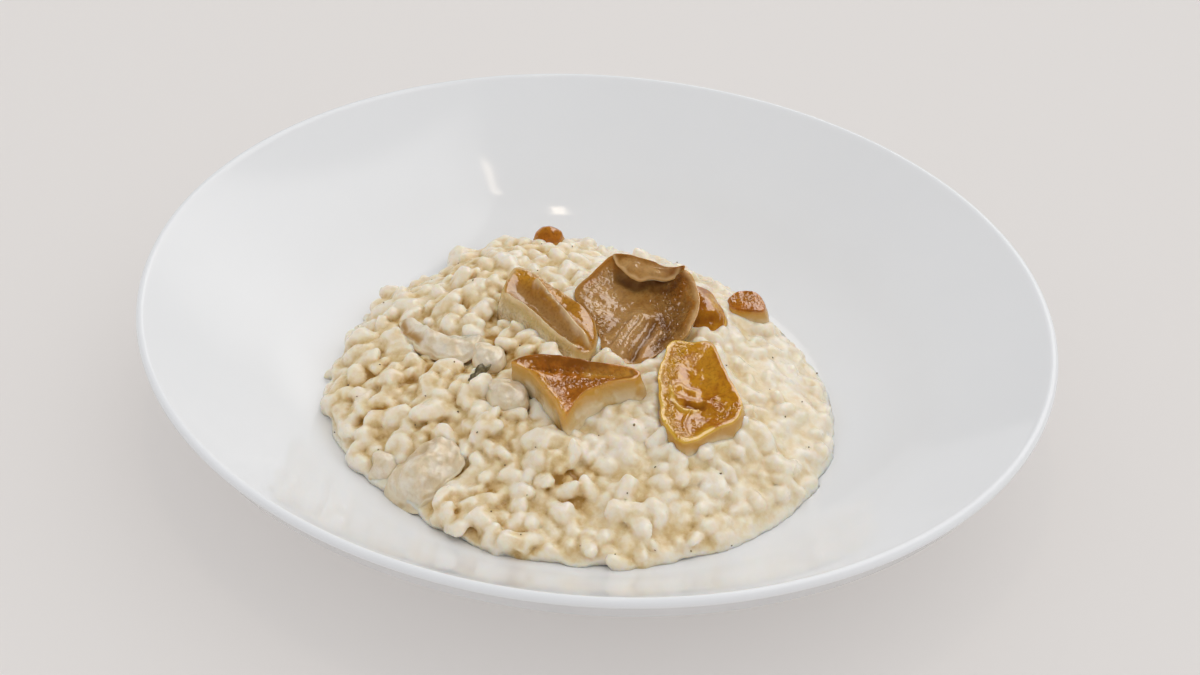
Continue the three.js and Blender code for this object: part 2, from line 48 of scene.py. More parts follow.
scene = bpy.context.scene
scene.view_settings.view_transform = "Standard"

# helpers for places, nodes and meshes


def turned(x, y):
    c, s = math.cos(servingTurn), math.sin(servingTurn)
    return c * x - s * y, s * x + c * y


def toRow(x, y, z=0.0):
    return Vector((*turned(x, y), z))


def toServing(x, y):
    c, s = math.cos(servingTurn), math.sin(servingTurn)
    return c * x + s * y, -s * x + c * y


def smoothStep(low, high, value):
    t = np.clip((value - low) / (high - low), 0, 1)
    return t * t * (3 - 2 * t)


def fillInputs(tree, node, inputs):  # with other nodes' sockets or with plain values
    for key, value in inputs.items():
        socket = node.inputs[key]
        if isinstance(value, bpy.types.NodeSocket):
            tree.links.new(value, socket)
        else:
            socket.default_value = (*value, 1) if socket.type == "RGBA" else value


def addNode(tree, kind, inputs=None, **settings):
    node = tree.nodes.new(kind)
    for key, value in settings.items():
        setattr(node, key, value)
    fillInputs(tree, node, inputs or {})
    return node


def mixColor(tree, factor, first, second):
    return addNode(tree, "ShaderNodeMix", {0: factor, 6: first, 7: second}, data_type="RGBA").outputs[2]


def calculate(tree, operation, *values):
    return addNode(tree, "ShaderNodeMath", dict(enumerate(values)), operation=operation).outputs[0]


def ramp(tree, value, low, high, start=0.0, end=1.0):
    inputs = {"Value": value, "From Min": low, "From Max": high, "To Min": start, "To Max": end}
    return addNode(tree, "ShaderNodeMapRange", inputs, interpolation_type="SMOOTHSTEP").outputs["Result"]


def addObject(name, data):
    thing = bpy.data.objects.new(name, data)
    scene.collection.objects.link(thing)
    return thing


def newMesh(name, points, faces):
    mesh = bpy.data.meshes.new(name)
    mesh.from_pydata(points, [], faces)
    return mesh


def shadeSmooth(mesh):
    mesh.polygons.foreach_set("use_smooth", np.ones(len(mesh.polygons), bool))


def setMask(mesh, name, values):
    mesh.attributes.new(name, "FLOAT", "POINT").data.foreach_set("value", np.asarray(values, np.float32))


# camera, floor and lights, all placed in the serving frame: x to the right, y away, z up

shot = {
    "target": (0.00297, -0.02157, 0.045),
    "elevation": 39.0,
    "distance": 0.60745,
    "lens": 60.0,
    "sensor": 36.0,
}
studio = {
    "floorHalf": 3.0, "floorRough": 0.9,
    "floorColor": (0.52, 0.502, 0.49), "floorGlow": (0.26, 0.246, 0.236),  # a table top lit from below
    "dim": (0.60, 0.605, 0.62), "bright": (0.82, 0.825, 0.835),  # the room, away from and towards the window
    "brightSide": (0.0, 0.78, 0.63),
    "window": {"top": (1.10, 1.105, 1.11), "foot": (0.60, 0.60, 0.60), "fade": (-0.15, 0.75)},
    # the same room as wet and glazed things mirror it
    "mirrored": (0.02, 0.021, 0.0225),
    "mirroredWindow": {"top": (4.2, 4.05, 3.95), "foot": (0.9, 0.9, 0.9), "fade": (0.2, 0.55)},
    # planes that bound the window, with their softness; the last bounds its mirror image only
    "windowEdges": [((1, 0.1, -0.18), 0.01), ((0.75, 0.66, 0), 0.2)],
    "mirroredEdge": ((-0.663, 0.62, 0.42), 0.03),
    "lamps": [  # azimuth and height in degrees, size and power
        ((-42, 77), (0.03, 0.06), 0.12),
        ((95, 88), (0.05, 0.17), 0.7),
    ],
    "lampColor": (1.0, 0.86, 0.68), "lampDistance": 1.6,
}


def makeCamera(s):
    data = bpy.data.cameras.new("camera")
    data.lens = s["lens"]
    data.sensor_width = s["sensor"]
    camera = addObject("camera", data)
    rise = math.radians(s["elevation"])
    back = toRow(0, -math.cos(rise), math.sin(rise))
    camera.location = toRow(*s["target"]) + back * s["distance"]
    camera.rotation_euler = back.to_track_quat("Z", "Y").to_euler()
    scene.camera = camera


def makeLamp(s, name, direction, size, power):
    data = bpy.data.lights.new(name, "AREA")
    data.shape = "RECTANGLE"
    data.size, data.size_y = size
    data.energy = power
    data.color = s["lampColor"]
    lamp = addObject(name, data)
    around, up = (math.radians(v) for v in direction)
    towards = toRow(math.cos(around) * math.cos(up), math.sin(around) * math.cos(up), math.sin(up))
    lamp.location = towards * s["lampDistance"]
    lamp.rotation_euler = towards.to_track_quat("Z", "Y").to_euler()


def makeSky(s):  # a room with one large bright window, given by direction
    world = bpy.data.worlds.new("studio")
    scene.world = world
    world.use_nodes = True
    tree = world.node_tree
    towards = addNode(tree, "ShaderNodeNewGeometry").outputs["Position"]

    def above(normal, low, high):
        inputs = {0: towards, 1: tuple(toRow(*normal))}
        along = addNode(tree, "ShaderNodeVectorMath", inputs, operation="DOT_PRODUCT")
        return ramp(tree, along.outputs["Value"], low, high)

    def pane(p):  # dimmer towards its foot
        return mixColor(tree, above((0, 0, 1), *p["fade"]), p["foot"], p["top"])

    color = mixColor(tree, above(s["brightSide"], -1, 1), s["dim"], s["bright"])
    window = calculate(tree, "MULTIPLY", *(above(normal, -soft, soft) for normal, soft in s["windowEdges"]))
    color = mixColor(tree, window, color, pane(s["window"]))
    normal, soft = s["mirroredEdge"]
    seen = calculate(tree, "MULTIPLY", window, above(normal, -soft, soft))
    mirrored = mixColor(tree, seen, s["mirrored"], pane(s["mirroredWindow"]))
    glossy = addNode(tree, "ShaderNodeLightPath").outputs["Is Glossy Ray"]
    tree.links.new(mixColor(tree, glossy, color, mirrored), tree.nodes["Background"].inputs["Color"])


def makeStudio(s):
    makeSky(s)
    for index, lamp in enumerate(s["lamps"]):
        makeLamp(s, f"lamp{index}", *lamp)
    half = s["floorHalf"]
    corners = [(-half, -half, 0), (half, -half, 0), (half, half, 0), (-half, half, 0)]
    floor = addObject("floor", newMesh("floor", corners, [(0, 1, 2, 3)]))
    material = bpy.data.materials.new("tableTop")
    material.use_nodes = True
    fillInputs(material.node_tree, material.node_tree.nodes["Principled BSDF"], {
        "Base Color": s["floorColor"], "Roughness": s["floorRough"],
        "Emission Color": s["floorGlow"], "Emission Strength": 1.0,
    })
    floor.data.materials.append(material)


makeCamera(shot)
makeStudio(studio)
print("studio ready")

# helpers for pieces and their materials


def dress(piece, nodes=()):
    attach(piece, "root")
    if nodes:
        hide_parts(*nodes)


def makePiece(name, points, faces, material, slot, nodes=(), masks=None):
    mesh = newMesh(name, np.asarray(points).tolist(), faces)
    mesh.materials.append(material)
    shadeSmooth(mesh)
    for key, values in (masks or {}).items():
        setMask(mesh, key, values)
    mesh.update()
    dress(addObject(name, mesh), nodes)


def ringFaces(rings, count):  # from a top point, out and down through the rings, to a bottom point
    last = 1 + rings * count
    faces = []
    for i in range(count):
        j = (i + 1) % count
        faces.append((0, 1 + i, 1 + j))
        faces += [(1 + r * count + i, 1 + (r + 1) * count + i, 1 + (r + 1) * count + j, 1 + r * count + j)
                  for r in range(rings - 1)]
        faces.append((last - count + i, last, last - count + j))
    return faces


def newMaterial(name):
    material = bpy.data.materials.new(name)
    material.use_nodes = True
    tree = material.node_tree
    coordinates = addNode(tree, "ShaderNodeTexCoord").outputs["Object"]
    return material, tree, tree.nodes["Principled BSDF"], coordinates


def newGroup(name, inputs, outputs, kind="ShaderNodeTree"):
    group = bpy.data.node_groups.new(name, kind)
    for way, sockets in (("INPUT", inputs), ("OUTPUT", outputs)):
        for label, socket in sockets.items():
            group.interface.new_socket(label, in_out=way, socket_type="NodeSocket" + socket)
    return group, group.nodes.new("NodeGroupInput").outputs, group.nodes.new("NodeGroupOutput")


def makeMottle():  # a soft blotchy mask between two thresholds
    inputs = {"Vector": "Vector", "Scale": "Float", "Low": "Float", "High": "Float"}
    group, given, leave = newGroup("mottle", inputs, {"Mask": "Float"})
    inputs = {"Vector": given["Vector"], "Scale": given["Scale"], "Detail": 3.0}
    cloudy = addNode(group, "ShaderNodeTexNoise", inputs).outputs["Fac"]
    group.links.new(ramp(group, cloudy, given["Low"], given["High"]), leave.inputs["Mask"])
    return group


def makeGrit():  # fine bumps
    inputs = {"Vector": "Vector", "Scale": "Float", "Depth": "Float", "Strength": "Float"}
    group, given, leave = newGroup("grit", inputs, {"Normal": "Vector"})
    inputs = {"Vector": given["Vector"], "Scale": given["Scale"], "Detail": 4.0}
    height = addNode(group, "ShaderNodeTexNoise", inputs).outputs["Fac"]
    inputs = {"Height": height, "Distance": given["Depth"], "Strength": given["Strength"]}
    bump = addNode(group, "ShaderNodeBump", inputs)
    group.links.new(bump.outputs["Normal"], leave.inputs["Normal"])
    return group


mottleGroup = makeMottle()
gritGroup = makeGrit()


def mottle(tree, coordinates, scale, low, high):
    inputs = {"Vector": coordinates, "Scale": scale, "Low": low, "High": high}
    return addNode(tree, "ShaderNodeGroup", inputs, node_tree=mottleGroup).outputs["Mask"]


def grit(tree, coordinates, scale, depth, strength):
    inputs = {"Vector": coordinates, "Scale": scale, "Depth": depth, "Strength": strength}
    return addNode(tree, "ShaderNodeGroup", inputs, node_tree=gritGroup).outputs["Normal"]


def attribute(tree, name):
    return addNode(tree, "ShaderNodeAttribute", attribute_name=name).outputs["Fac"]


# plate

plateSizes = {
    "length": 290 * mm, "width": 257.4 * mm, "height": 45 * mm,
    "floorTop": 8 * mm, "floorReach": 74.6 * mm, "slopeStart": 106.6 * mm, "slope": 0.657,
    "lip": 1.6 * mm, "lipAngles": (130, -75), "lipGap": 0.8 * mm, "steeperFrom": 115 * mm,
    "side": 4 * mm, "sideShift": 2 * mm, "sideEnd": 72 * mm,
    "foot": [(67.2, 2.6), (66.3, 0.5), (65.7, 0), (61.3, 0), (60.6, 0.5), (59.5, 2.6), (0, 2.6)],  # in mm
    "faceRings": 38, "lipRings": 12, "sideRings": 18, "turns": 192,
    # mottles are given by scale and two thresholds, bumps by scale, depth and strength
    "glaze": (0.872, 0.88, 0.893), "clouding": 0.985, "cloudScale": (18.0, 0.3, 0.7), "sheen": (0.05, 0.05),
    "waviness": (22.0, 0.0012, 0.06), "ior": 1.25,
    "bareClay": (0.62, 0.56, 0.48), "bareBelow": 0.5 * mm, "bareRough": 0.8,  # the foot ring stands unglazed
}


def plateFace(reach):
    p = plateSizes
    bend = p["slopeStart"] - p["floorReach"]
    t = np.clip((reach - p["floorReach"]) / bend, 0, 1)
    return p["floorTop"] + p["slope"] * (bend * t * t / 2 + np.maximum(reach - p["slopeStart"], 0))


def plateFaceAt(x, y):
    return plateFace(np.hypot(x, y * plateSizes["length"] / plateSizes["width"]))


def makeGlaze(p):
    material, tree, shader, coordinates = newMaterial("glazedPorcelain")
    height = addNode(tree, "ShaderNodeSeparateXYZ", {"Vector": coordinates}).outputs["Z"]
    bare = calculate(tree, "LESS_THAN", height, p["bareBelow"])
    cloudy = mottle(tree, coordinates, *p["cloudScale"])
    glaze = mixColor(tree, cloudy, p["glaze"], tuple(c * p["clouding"] for c in p["glaze"]))
    sheen = calculate(tree, "MULTIPLY_ADD", cloudy, *p["sheen"])
    fillInputs(tree, shader, {
        "Base Color": mixColor(tree, bare, glaze, p["bareClay"]),
        "Roughness": calculate(tree, "MAXIMUM", sheen, calculate(tree, "MULTIPLY", bare, p["bareRough"])),
        "Normal": grit(tree, coordinates, *p["waviness"]),
        "IOR": p["ior"],
    })
    return material


def makePlate(p):
    lipCentre, lipTop = p["length"] / 2 - p["lip"], p["height"] - p["lip"]
    start, end = (math.radians(angle) for angle in p["lipAngles"])
    last = lipCentre + p["lip"] * math.cos(start)
    missing = lipTop + p["lip"] * math.sin(start) - float(plateFace(last))
    profile = [(0, p["floorTop"]), (p["floorReach"] * 0.5, p["floorTop"])]
    for reach in np.linspace(p["floorReach"] * 0.97, last - p["lipGap"], p["faceRings"]):
        steeper = max(reach - p["steeperFrom"], 0) / (last - p["steeperFrom"])  # to run into the lip
        profile.append((reach, float(plateFace(reach)) + missing * steeper ** 2))
    for angle in np.linspace(start, end, p["lipRings"]):  # over the lip and under
        profile.append((lipCentre + p["lip"] * math.cos(angle), lipTop + p["lip"] * math.sin(angle)))
    for reach in np.linspace(lipCentre - 3 * p["lip"], p["sideEnd"], p["sideRings"]):
        profile.append((reach + p["sideShift"], float(plateFace(reach)) - p["side"]))
    profile += [(reach * mm, height * mm) for reach, height in p["foot"]]
    turns = np.linspace(0, 2 * np.pi, p["turns"], endpoint=False)
    oval = p["width"] / p["length"]
    points = [(0, 0, profile[0][1])]
    for reach, height in profile[1:-1]:
        points += [(reach * math.cos(a), reach * math.sin(a) * oval, height) for a in turns]
    points.append((0, 0, profile[-1][1]))
    return points, ringFaces(len(profile) - 2, p["turns"])


makePiece("plate_glazed", *makePlate(plateSizes), makeGlaze(plateSizes), "porcelain", ["plate"])
print("plate made")


def stroke(path, width, **marks):  # a soft line on a topping, which lifts the flesh or tints it
    return {"path": path, "width": width, **marks}


# where each topping lies in the serving frame, and its rim, centre and strokes measured from there, all in mm
# rice: how far it leans up beside the piece or, below 0, lies lower; bowl: how the face bends towards its rim
# spread, lean and sink: how the foot lies against the rim; ridges: start, end, width and lift

toppings = {
    "mushroom_front": {
        "at": (-5, -31, 37.5), "rice": 0.8,
        "rim": [(-19, 7.5, 0), (-14, 4, 0), (-10, -2, -0.5), (-6, -8.5, -2), (-2.5, -14.5, -3.5),
                (0.5, -9, -2), (4.5, -5.5, -1), (10.5, -2.5, 0), (18.5, -1.5, 1), (20, 1.5, 1.5),
                (14, 4.5, 1.5), (5, 6.5, 1.5), (-8.5, 10, 1), (-16, 10, 0.5)],
        "centre": (-1, 0.5, -1.6), "bowl": 2.5, "spread": 1, "lean": (1.5, -1), "sink": 2.5,
        "ridges": [((-12, 6), (16, 1.5), 1.6, -0.8)],
        "strokes": [
            stroke([(-17.5, 8.6), (-9.9, 9), (0.7, 6.4), (10, 4.6)], 1.2, lift=0.3, dark=0.9),
            stroke([(4, 3.6), (11, 2.6), (17, 1.2)], 1.7, gold=0.7, pale=0.25),
            stroke([(-13, 8), (-10.5, 5.2)], 0.5, dark=0.7, lift=-0.3),
            stroke([(-8.5, 8.2), (-6.5, 4.6)], 0.5, dark=0.7, lift=-0.3),
            stroke([(-4, 7.4), (-2.5, 3.6)], 0.5, dark=0.6, lift=-0.3),
            stroke([(0.5, 6.6), (1.5, 3)], 0.5, dark=0.6, lift=-0.3),
            stroke([(4.5, 6), (5.5, 3)], 0.4, dark=0.5, lift=-0.25),
            stroke([(-14, 5.4), (-5, 5.6), (5, 4.2), (14, 1.8)], 0.9, lift=-0.5, dark=0.3, rough=0.6),
            stroke([(-15, 5), (-11, 2)], 3, gold=0.9),
            stroke([(-10.8, 3), (-8, -3), (-4.3, -9), (-2.4, -13.5)], 1.5, lift=0.5, gold=0.8),
            stroke([(-7, -1.6), (0.8, -0.8), (8, -0.6)], 2.6, rough=1, dark=0.25),
            stroke([(-3, -5), (-2, -10)], 2.4, rough=0.8, lift=-0.6),
            stroke([(12, 0.6), (15.5, -0.2), (18, 0.4), (17.5, 2)], 0.6, lift=-0.6, dark=0.9),
            stroke([(0.5, -9), (4.5, -5.5), (10.5, -2.5), (18.5, -1.5)], 0.6, pale=0.7),
            stroke([(-19, 7.5), (-14, 4), (-10, -2), (-6, -8.5), (-2.5, -14.5)], 0.7, pale=0.7),
        ],
    },
    "mushroom_right": {
        "at": (31.5, -30, 33),
        "rim": [(-5.5, 21, 1.5), (-8.5, 14, 1.5), (-10.5, 6.5, 1.5), (-10.5, -3.5, 1), (-10, -12.5, 0),
                (-7.5, -19.5, -1), (-3.5, -23.5, -1.5), (5, -18, -1.5), (11.5, -14, -1), (14.5, -8, -1),
                (11, 5, 0), (8, 15.5, 0.5), (6, 21, 1), (0, 20.5, 1)],
        "centre": (1, -5, -4.2), "bowl": 2.2, "spread": 0.5, "lean": (0.8, -0.5), "sink": 2.5,
        "ridges": [((-8, -2), (5, -6), 1.8, 1.6)],
        "strokes": [
            stroke([(-7, 0.3), (-6.6, -4.6), (-3.6, -7.8), (1.1, -7.7)], 0.9, lift=1.1, pale=0.6),
            stroke([(-2.4, -4.6), (2.2, -6.2)], 1.2, lift=-1.6, dark=1),
            stroke([(2.2, -6.2), (7.1, -2.2), (11.3, -0.9)], 0.8, lift=0.8, dark=0.3),
            stroke([(3, -8.5), (8, -6), (12.5, -7)], 0.8, lift=0.7),
            stroke([(-1.5, -8.5), (-3.4, -14), (-3, -19)], 0.7, lift=0.5, gold=0.3),
            stroke([(-7.5, 1.1), (-3.2, 3.5), (0.9, 0.6)], 1, lift=0.7, gold=0.5),
            stroke([(-2.7, 19), (-6.1, 11.8), (-7.6, 1.9)], 2.4, rough=1, gold=0.5),
            stroke([(-8.2, -3.8), (-7, -14), (-4.3, -20.5)], 2, rough=1, gold=0.4),
            stroke([(7, -4), (8.6, -10.5), (12, -8.5)], 2.2, rough=1, lift=0.4),
            stroke([(0.5, -13), (0.3, -17)], 2.6, dark=0.35),
            stroke([(4, 17), (5.4, 6)], 3.6, gold=0.35, lift=0.5),
            stroke([(-5.5, 21), (-8.8, 14), (-10.4, 6.5), (-10.4, -3.5), (-9.8, -12.5), (-7.3, -19.5)],
                   1.1, pale=0.55, gold=0.6),
            stroke([(-3.6, -22.6), (0, -21.4), (4.5, -17.5)], 0.9, pale=0.7),
        ],
    },
    "mushroom_large": {
        "at": (15.5, 6, 36),
        "rim": [(-20.5, 11.5, -3), (-17, 1, -3.5), (-13, -9, -4), (-11.5, -17, -4), (-6.5, -23, -4.5),
                (1.5, -22, -4.5), (7.5, -17, -3.5), (15.5, -12, -0.5), (19, -1, 2.5), (18, 6, 4),
                (15, 10, 7), (11, 11, 5), (3.5, 16, 4.5), (-8.5, 24, 2.5), (-13, 21, 0)],
        "centre": (1, 0, -4), "bowl": 3, "spread": -2.5, "lean": (-1, 1), "sink": 2.5,
        "ridges": [((0, -2), (-6, -17), 4, 2.4), ((4, -3), (14, 6), 3, 0.8)],
        "strokes": [
            stroke([(-0.9, -1), (-4.8, -11.4), (-9.3, -22)], 4, pale=0.45, rough=0.4),
            stroke([(-3.1, -3), (-7, -10.5), (-11.5, -20)], 0.5, lift=-0.5, dark=0.35),
            stroke([(-2, -3), (-5.9, -11), (-10.3, -21)], 0.5, lift=0.45, pale=0.6),
            stroke([(-0.5, -4), (-3.7, -11.8), (-8.2, -21.5)], 0.5, lift=-0.5, dark=0.4),
            stroke([(1.1, -4), (-2.8, -12.2), (-7, -21.5)], 0.5, lift=0.45, pale=0.6),
            stroke([(2.6, -5), (-0.9, -12.9), (-5, -21.5)], 0.5, lift=-0.4, dark=0.35),
            stroke([(4.9, -4.5), (1, -13.6), (-2.5, -21.5)], 1.1, lift=-1.3, dark=0.8),
            stroke([(6.6, -9), (3.3, -14.5), (0.2, -21.5)], 1.1, lift=0.8, pale=0.4, gold=0.5),
            stroke([(-13, -10), (-9, -6.5), (-4, -3.5)], 1.4, lift=-0.9, dark=0.35),
            stroke([(10.5, 6), (10.5, -3), (9.5, -9)], 5.5, dark=0.6, rough=1),
            stroke([(8, -3), (9, -9), (5.5, -16)], 2.6, dark=0.9, rough=1, lift=-0.8),
            # the next two strokes are painted shadow on the face beneath the curled flap, over a shallow
            # groove
            stroke([(-6, 17), (-1, 12.6), (3.6, 12.2), (7.8, 10.8), (11, 11.2)],
                   1.6, dark=1, lift=-1.2),
            stroke([(4.5, 10.2), (9, 8.2), (13, 8.4)], 1.7, dark=1, lift=-0.6),
            stroke([(-15.6, 4.5), (-12.5, -2.3), (-11.4, -8)], 1.3, rough=1),
            stroke([(-18, 9), (-14, 14), (-10, 18)], 1.4, rough=0.8),
            stroke([(13.5, 7.5), (17, -1), (14, -9)], 0.9, lift=0.6, gold=0.6),
            stroke([(15.5, -12), (19, -1), (18, 6), (15, 10)], 0.8, pale=0.9),
            stroke([(-16.5, 15), (-13, 21), (-8.5, 24), (-6.5, 20)], 2, gold=1, dark=0.3),
            stroke([(-13, 16), (-15.5, 10), (-13, 3)], 2.4, pale=0.3),
            stroke([(-10, 14), (-7, 4), (-2, -1)], 5, pale=0.25, lift=-0.4),
            stroke([(14.5, 10.5), (13.5, 6.5), (12.5, 5)], 2.4, lift=0.8, dark=0.6, gold=1),
        ],
    },
    "mushroom_left": {
        "at": (-12.5, 6, 35.5), "rice": -1.8,
        "rim": [(-15, 7, 0.5), (-8.5, 0, 0), (-3, -7, -0.5), (1.5, -12, -1), (5, -16, -1.5),
                (8.5, -19.5, -2), (12, -19.5, -2.5), (14.5, -11.5, -2.5), (12.5, -1.5, -2), (7, 5, -1),
                (0.5, 10.5, 0), (-4, 15.5, 1), (-8, 18.5, 1.5), (-12, 19, 1.5), (-14.5, 14, 1)],
        "centre": (-0.5, 0, -2), "bowl": 3, "spread": 1.2, "lean": (-1.6, -1.6), "sink": 2.5,
        "ridges": [((-6, 12), (10.5, -15), 2.2, 3)],
        "strokes": [
            stroke([(-15, 6.5), (-12, 3.6), (-7.2, -0.4), (-1.2, -9), (2.7, -13.5), (7.8, -18.5)],
                   0.8, lift=0.9, pale=1),
            stroke([(-12, 9.5), (-5, 2.5), (1.5, -6.5), (6, -14)], 2.6, lift=-1, grey=1),
            stroke([(-5, 10), (-0.4, 5.4), (2.8, 0.1), (5, -6), (8.4, -12.1), (11.6, -17)],
                   0.8, lift=1.2, pale=0.75),
            stroke([(-0.4, 5.6), (1.6, 3), (3.8, 0)], 1.1, lift=-0.8, dark=1, rough=1),
            stroke([(-16, 4), (-9, -4), (-2, -12), (4, -18)], 2.6, rough=1),
            stroke([(-11.2, 17.5), (-4.4, 11.6), (-0.4, 7)], 1.9, gold=1, lift=0.4),
            stroke([(3, 8), (7.5, 2), (11, -6), (12, -13)], 3, dark=0.3, gold=0.7, lift=0.8),
            stroke([(-10, 16.5), (-3, 12), (3, 5.5)], 1.6, gold=0.9, dark=0.25, rough=0.5),
            stroke([(-14.5, 14), (-12, 19), (-8, 18.5), (-4, 15.5), (0.5, 10.5), (7, 5)], 0.9, pale=0.65),
        ],
    },
    "mushroom_small": {
        "at": (36, 11, 30.5),
        "rim": [(-4, -7, -1.5), (0.5, -9.5, -2), (6.5, -6.5, -2), (7.5, -1.5, -1.5), (5, 4, 0.5),
                (1.5, 8, 2), (-2.5, 9, 2.5), (-5, 4, 2.5), (-6, -2.5, 0.5)],
        "centre": (0.5, -0.5, 3.5), "bowl": 2.2, "spread": 0.6, "lean": (0, 0), "sink": 2.5, "ridges": [],
        "strokes": [
            stroke([(0.5, 5), (0.5, -1.5)], 2.4, dark=0.55),
            stroke([(3, 4), (4, -1.5)], 1.3, gold=0.8),
            stroke([(-3, -5.5), (1, -7), (5.5, -5)], 1.8, dark=1, lift=-0.5),
        ],
    },
    "mushroom_cube": {
        "at": (51, 19, 27.5),
        "rim": [(-6.5, 1.5, 0), (-5.5, -2.5, -0.5), (-0.5, -4.5, -0.5), (5.5, -4, -1),
                (5.5, 1.5, 0), (3, 4.5, 0.5), (-3, 4.5, 0.5)],
        "centre": (0, 0, 0.2), "bowl": 4, "spread": 0.6, "lean": (0.4, -0.4), "sink": 2.2, "ridges": [],
        "strokes": [stroke([(-5, 1), (5, 0)], 3, gold=0.3, rough=0.7)],
    },
    "mushroom_back": {
        "at": (-14.5, 66, 20), "rice": -1.2,
        "rim": [(-5.5, 0.5, -0.5), (-3, -2.5, -1), (3.5, -2.5, -1), (5, 1, 0), (1, 3.5, 0.8), (-3, 3.5, 0)],
        "centre": (0, 0.5, 2), "bowl": 2, "spread": 0.4, "lean": (0, 0), "sink": 2.2, "ridges": [],
        "strokes": [stroke([(-4, 1), (4, 1)], 2, gold=0.4)],
    },
    "coated_chunk": {
        "at": (-49, -53, 19.5),
        "rim": [(-12, -0.5, -3.5), (-9, -5, -4.5), (-1.5, -10.5, -4), (3, -8, -2), (7, -3.5, 0.5),
                (10.5, 2, 3), (8.5, 7.5, 4.5), (3.5, 10, 4.5), (-2.5, 7, 2.5), (-7.5, 3.5, 0)],
        "centre": (0, -0.5, 3.6), "bowl": 2.6, "spread": 0.6, "lean": (-0.6, -0.6), "sink": 2.2, "ridges": [],
        "strokes": [
            stroke([(-6, -3), (2, 1), (5, 7)], 2.2, lift=0.9),
            stroke([(-8, 1), (-1, 4), (2, 8)], 1.5, lift=-0.8, dark=0.5),
            stroke([(0, -7), (6, -1), (9, 5)], 1.4, lift=-0.5, dark=0.3),
        ],
    },
    "coated_button": {
        "at": (-62.5, -46.5, 16.5),
        "rim": [(-4.5, 3, -1.5), (-3.5, -2, -2), (1, -5, -1.5), (4, -2.5, 0), (3.5, 1.5, 1.5), (-0.5, 4, 1)],
        "centre": (0, -0.2, 2.4), "bowl": 2.2, "spread": 0.4, "lean": (-0.3, -0.3), "sink": 2, "ridges": [],
        "strokes": [],
    },
    "coated_slice": {
        "at": (-47.5, 1.5, 26.5),
        "rim": [(-13.5, 12.5, -2.2), (-12.5, 5, -2), (-7, -2.5, -1), (-0.5, -8, 0.2), (6.5, -11, 1.2),
                (11.5, -8.5, 2.2), (13, -2, 2.6), (8.5, -2.5, 2.8), (3, -2.5, 2.2), (-3.5, 2.5, 1),
                (-8.5, 9, -0.6)],
        "centre": (-1.5, -2, 2.2), "bowl": 2, "spread": 0.4, "lean": (-0.4, -0.4), "sink": 2.2, "ridges": [],
        "strokes": [
            stroke([(-13.5, 12), (-12.5, 5), (-7.5, -2)], 1.3, gold=1, dark=0.5),
            stroke([(-5, 0), (2, -5), (9, -6)], 1.8, lift=0.7),
        ],
    },
    "coated_cube": {
        "at": (-31.5, -10.5, 30.2),
        "rim": [(-4.6, 3.5, 0), (-4, -2.8, -0.5), (2.5, -5, 0), (4.6, -1.5, 0.6), (3.5, 2.4, 0.8),
                (-1, 3.8, 0.4)],
        "centre": (0, -0.2, 1.2), "bowl": 3.5, "spread": 0.5, "lean": (0, -0.3), "sink": 2, "ridges": [],
        "strokes": [],
    },
    "coated_block": {
        "at": (-24.5, -29, 30.4),
        "rim": [(-6.8, 3.2, 0), (-5.5, -2.4, -0.6), (0.5, -5.5, -0.8), (4.8, -4, -0.5), (5, 1, 0.6),
                (2.5, 4, 0.8), (-3.5, 4.2, 0.5)],
        "centre": (-0.3, -0.3, 1.3), "bowl": 3, "spread": 0.5, "lean": (0, -0.3), "sink": 2, "ridges": [],
        "strokes": [stroke([(-5, 2), (1, -1), (4, -2)], 1.6, lift=0.6)],
    },
}
capFlap = {  # the part of the large cap that has curled over
    "at": (15.5, 6, 36),
    "rim": [(-8.5, 24, 2), (-6.5, 18, 2.2), (-3.8, 13, 2.3), (-0.2, 9.8, 2.2), (4.4, 10.2, 2.5),
            (8.4, 9.2, 2.6), (12.2, 9.8, 3.7), (14.8, 9.8, 8), (11.5, 12, 5.6), (8.5, 13.5, 5.2),
            (2, 18, 4.8), (-4, 22, 3.8)],
    "centre": (2.5, 14, 4.4), "bowl": 2, "thickness": 0.8, "ridges": [],
    "strokes": [
        stroke([(-8.5, 23.5), (-6.5, 18), (-3.8, 13), (-0.2, 9.8), (4.4, 10.2), (8.4, 9.2), (12.2, 9.8)],
               0.7, pale=1),
        stroke([(-4, 17), (2, 13), (8, 12)], 2.4, pale=0.35, lift=0.3),
        stroke([(-8, 23), (-4, 21.5), (2, 17.5), (9, 13.3)], 1.2, dark=0.5, gold=0.4),
        stroke([(11.5, 11), (14.8, 9.8)], 2.2, dark=0.7, gold=1),
    ],
}

# heap of rice

heapSizes = {
    "radius": 78.9 * mm, "height": 22 * mm, "power": 2.4, "shoulder": 0.6,
    "waves": [(1, -1.1 * mm, -9.0 * mm), (2, 2.3 * mm, -2.9 * mm), (3, 0.3 * mm, -0.6 * mm)],
    "coarse": (62 * mm, -25 * mm), "aslant": 0.35,
    # how it meets the toppings: lifts in mm, and where they come and go by the depth within an outline
    "lean": 3.4, "leanComes": (-6.5 * mm, -1.0 * mm), "leanGoes": (-0.5 * mm, 1.5 * mm),
    "dip": 1.6, "dipComes": (-4.5 * mm, -1.0 * mm),
    "voxel": 0.5 * mm, "keep": 0.5, "reliefRounds": 8, "hollowRounds": 45,
    "underFacing": -0.6, "underBelow": 1.3 * mm,
}


def heapReach(angle, inset=0.0):
    reach = heapSizes["radius"] - inset
    for waves, cosine, sine in heapSizes["waves"]:
        reach = reach + cosine * np.cos(waves * angle) + sine * np.sin(waves * angle)
    return reach


def shareOf(x, y):  # 0 at the heap's middle and 1 at its outline
    return np.hypot(x, y) / heapReach(np.arctan2(y, x))


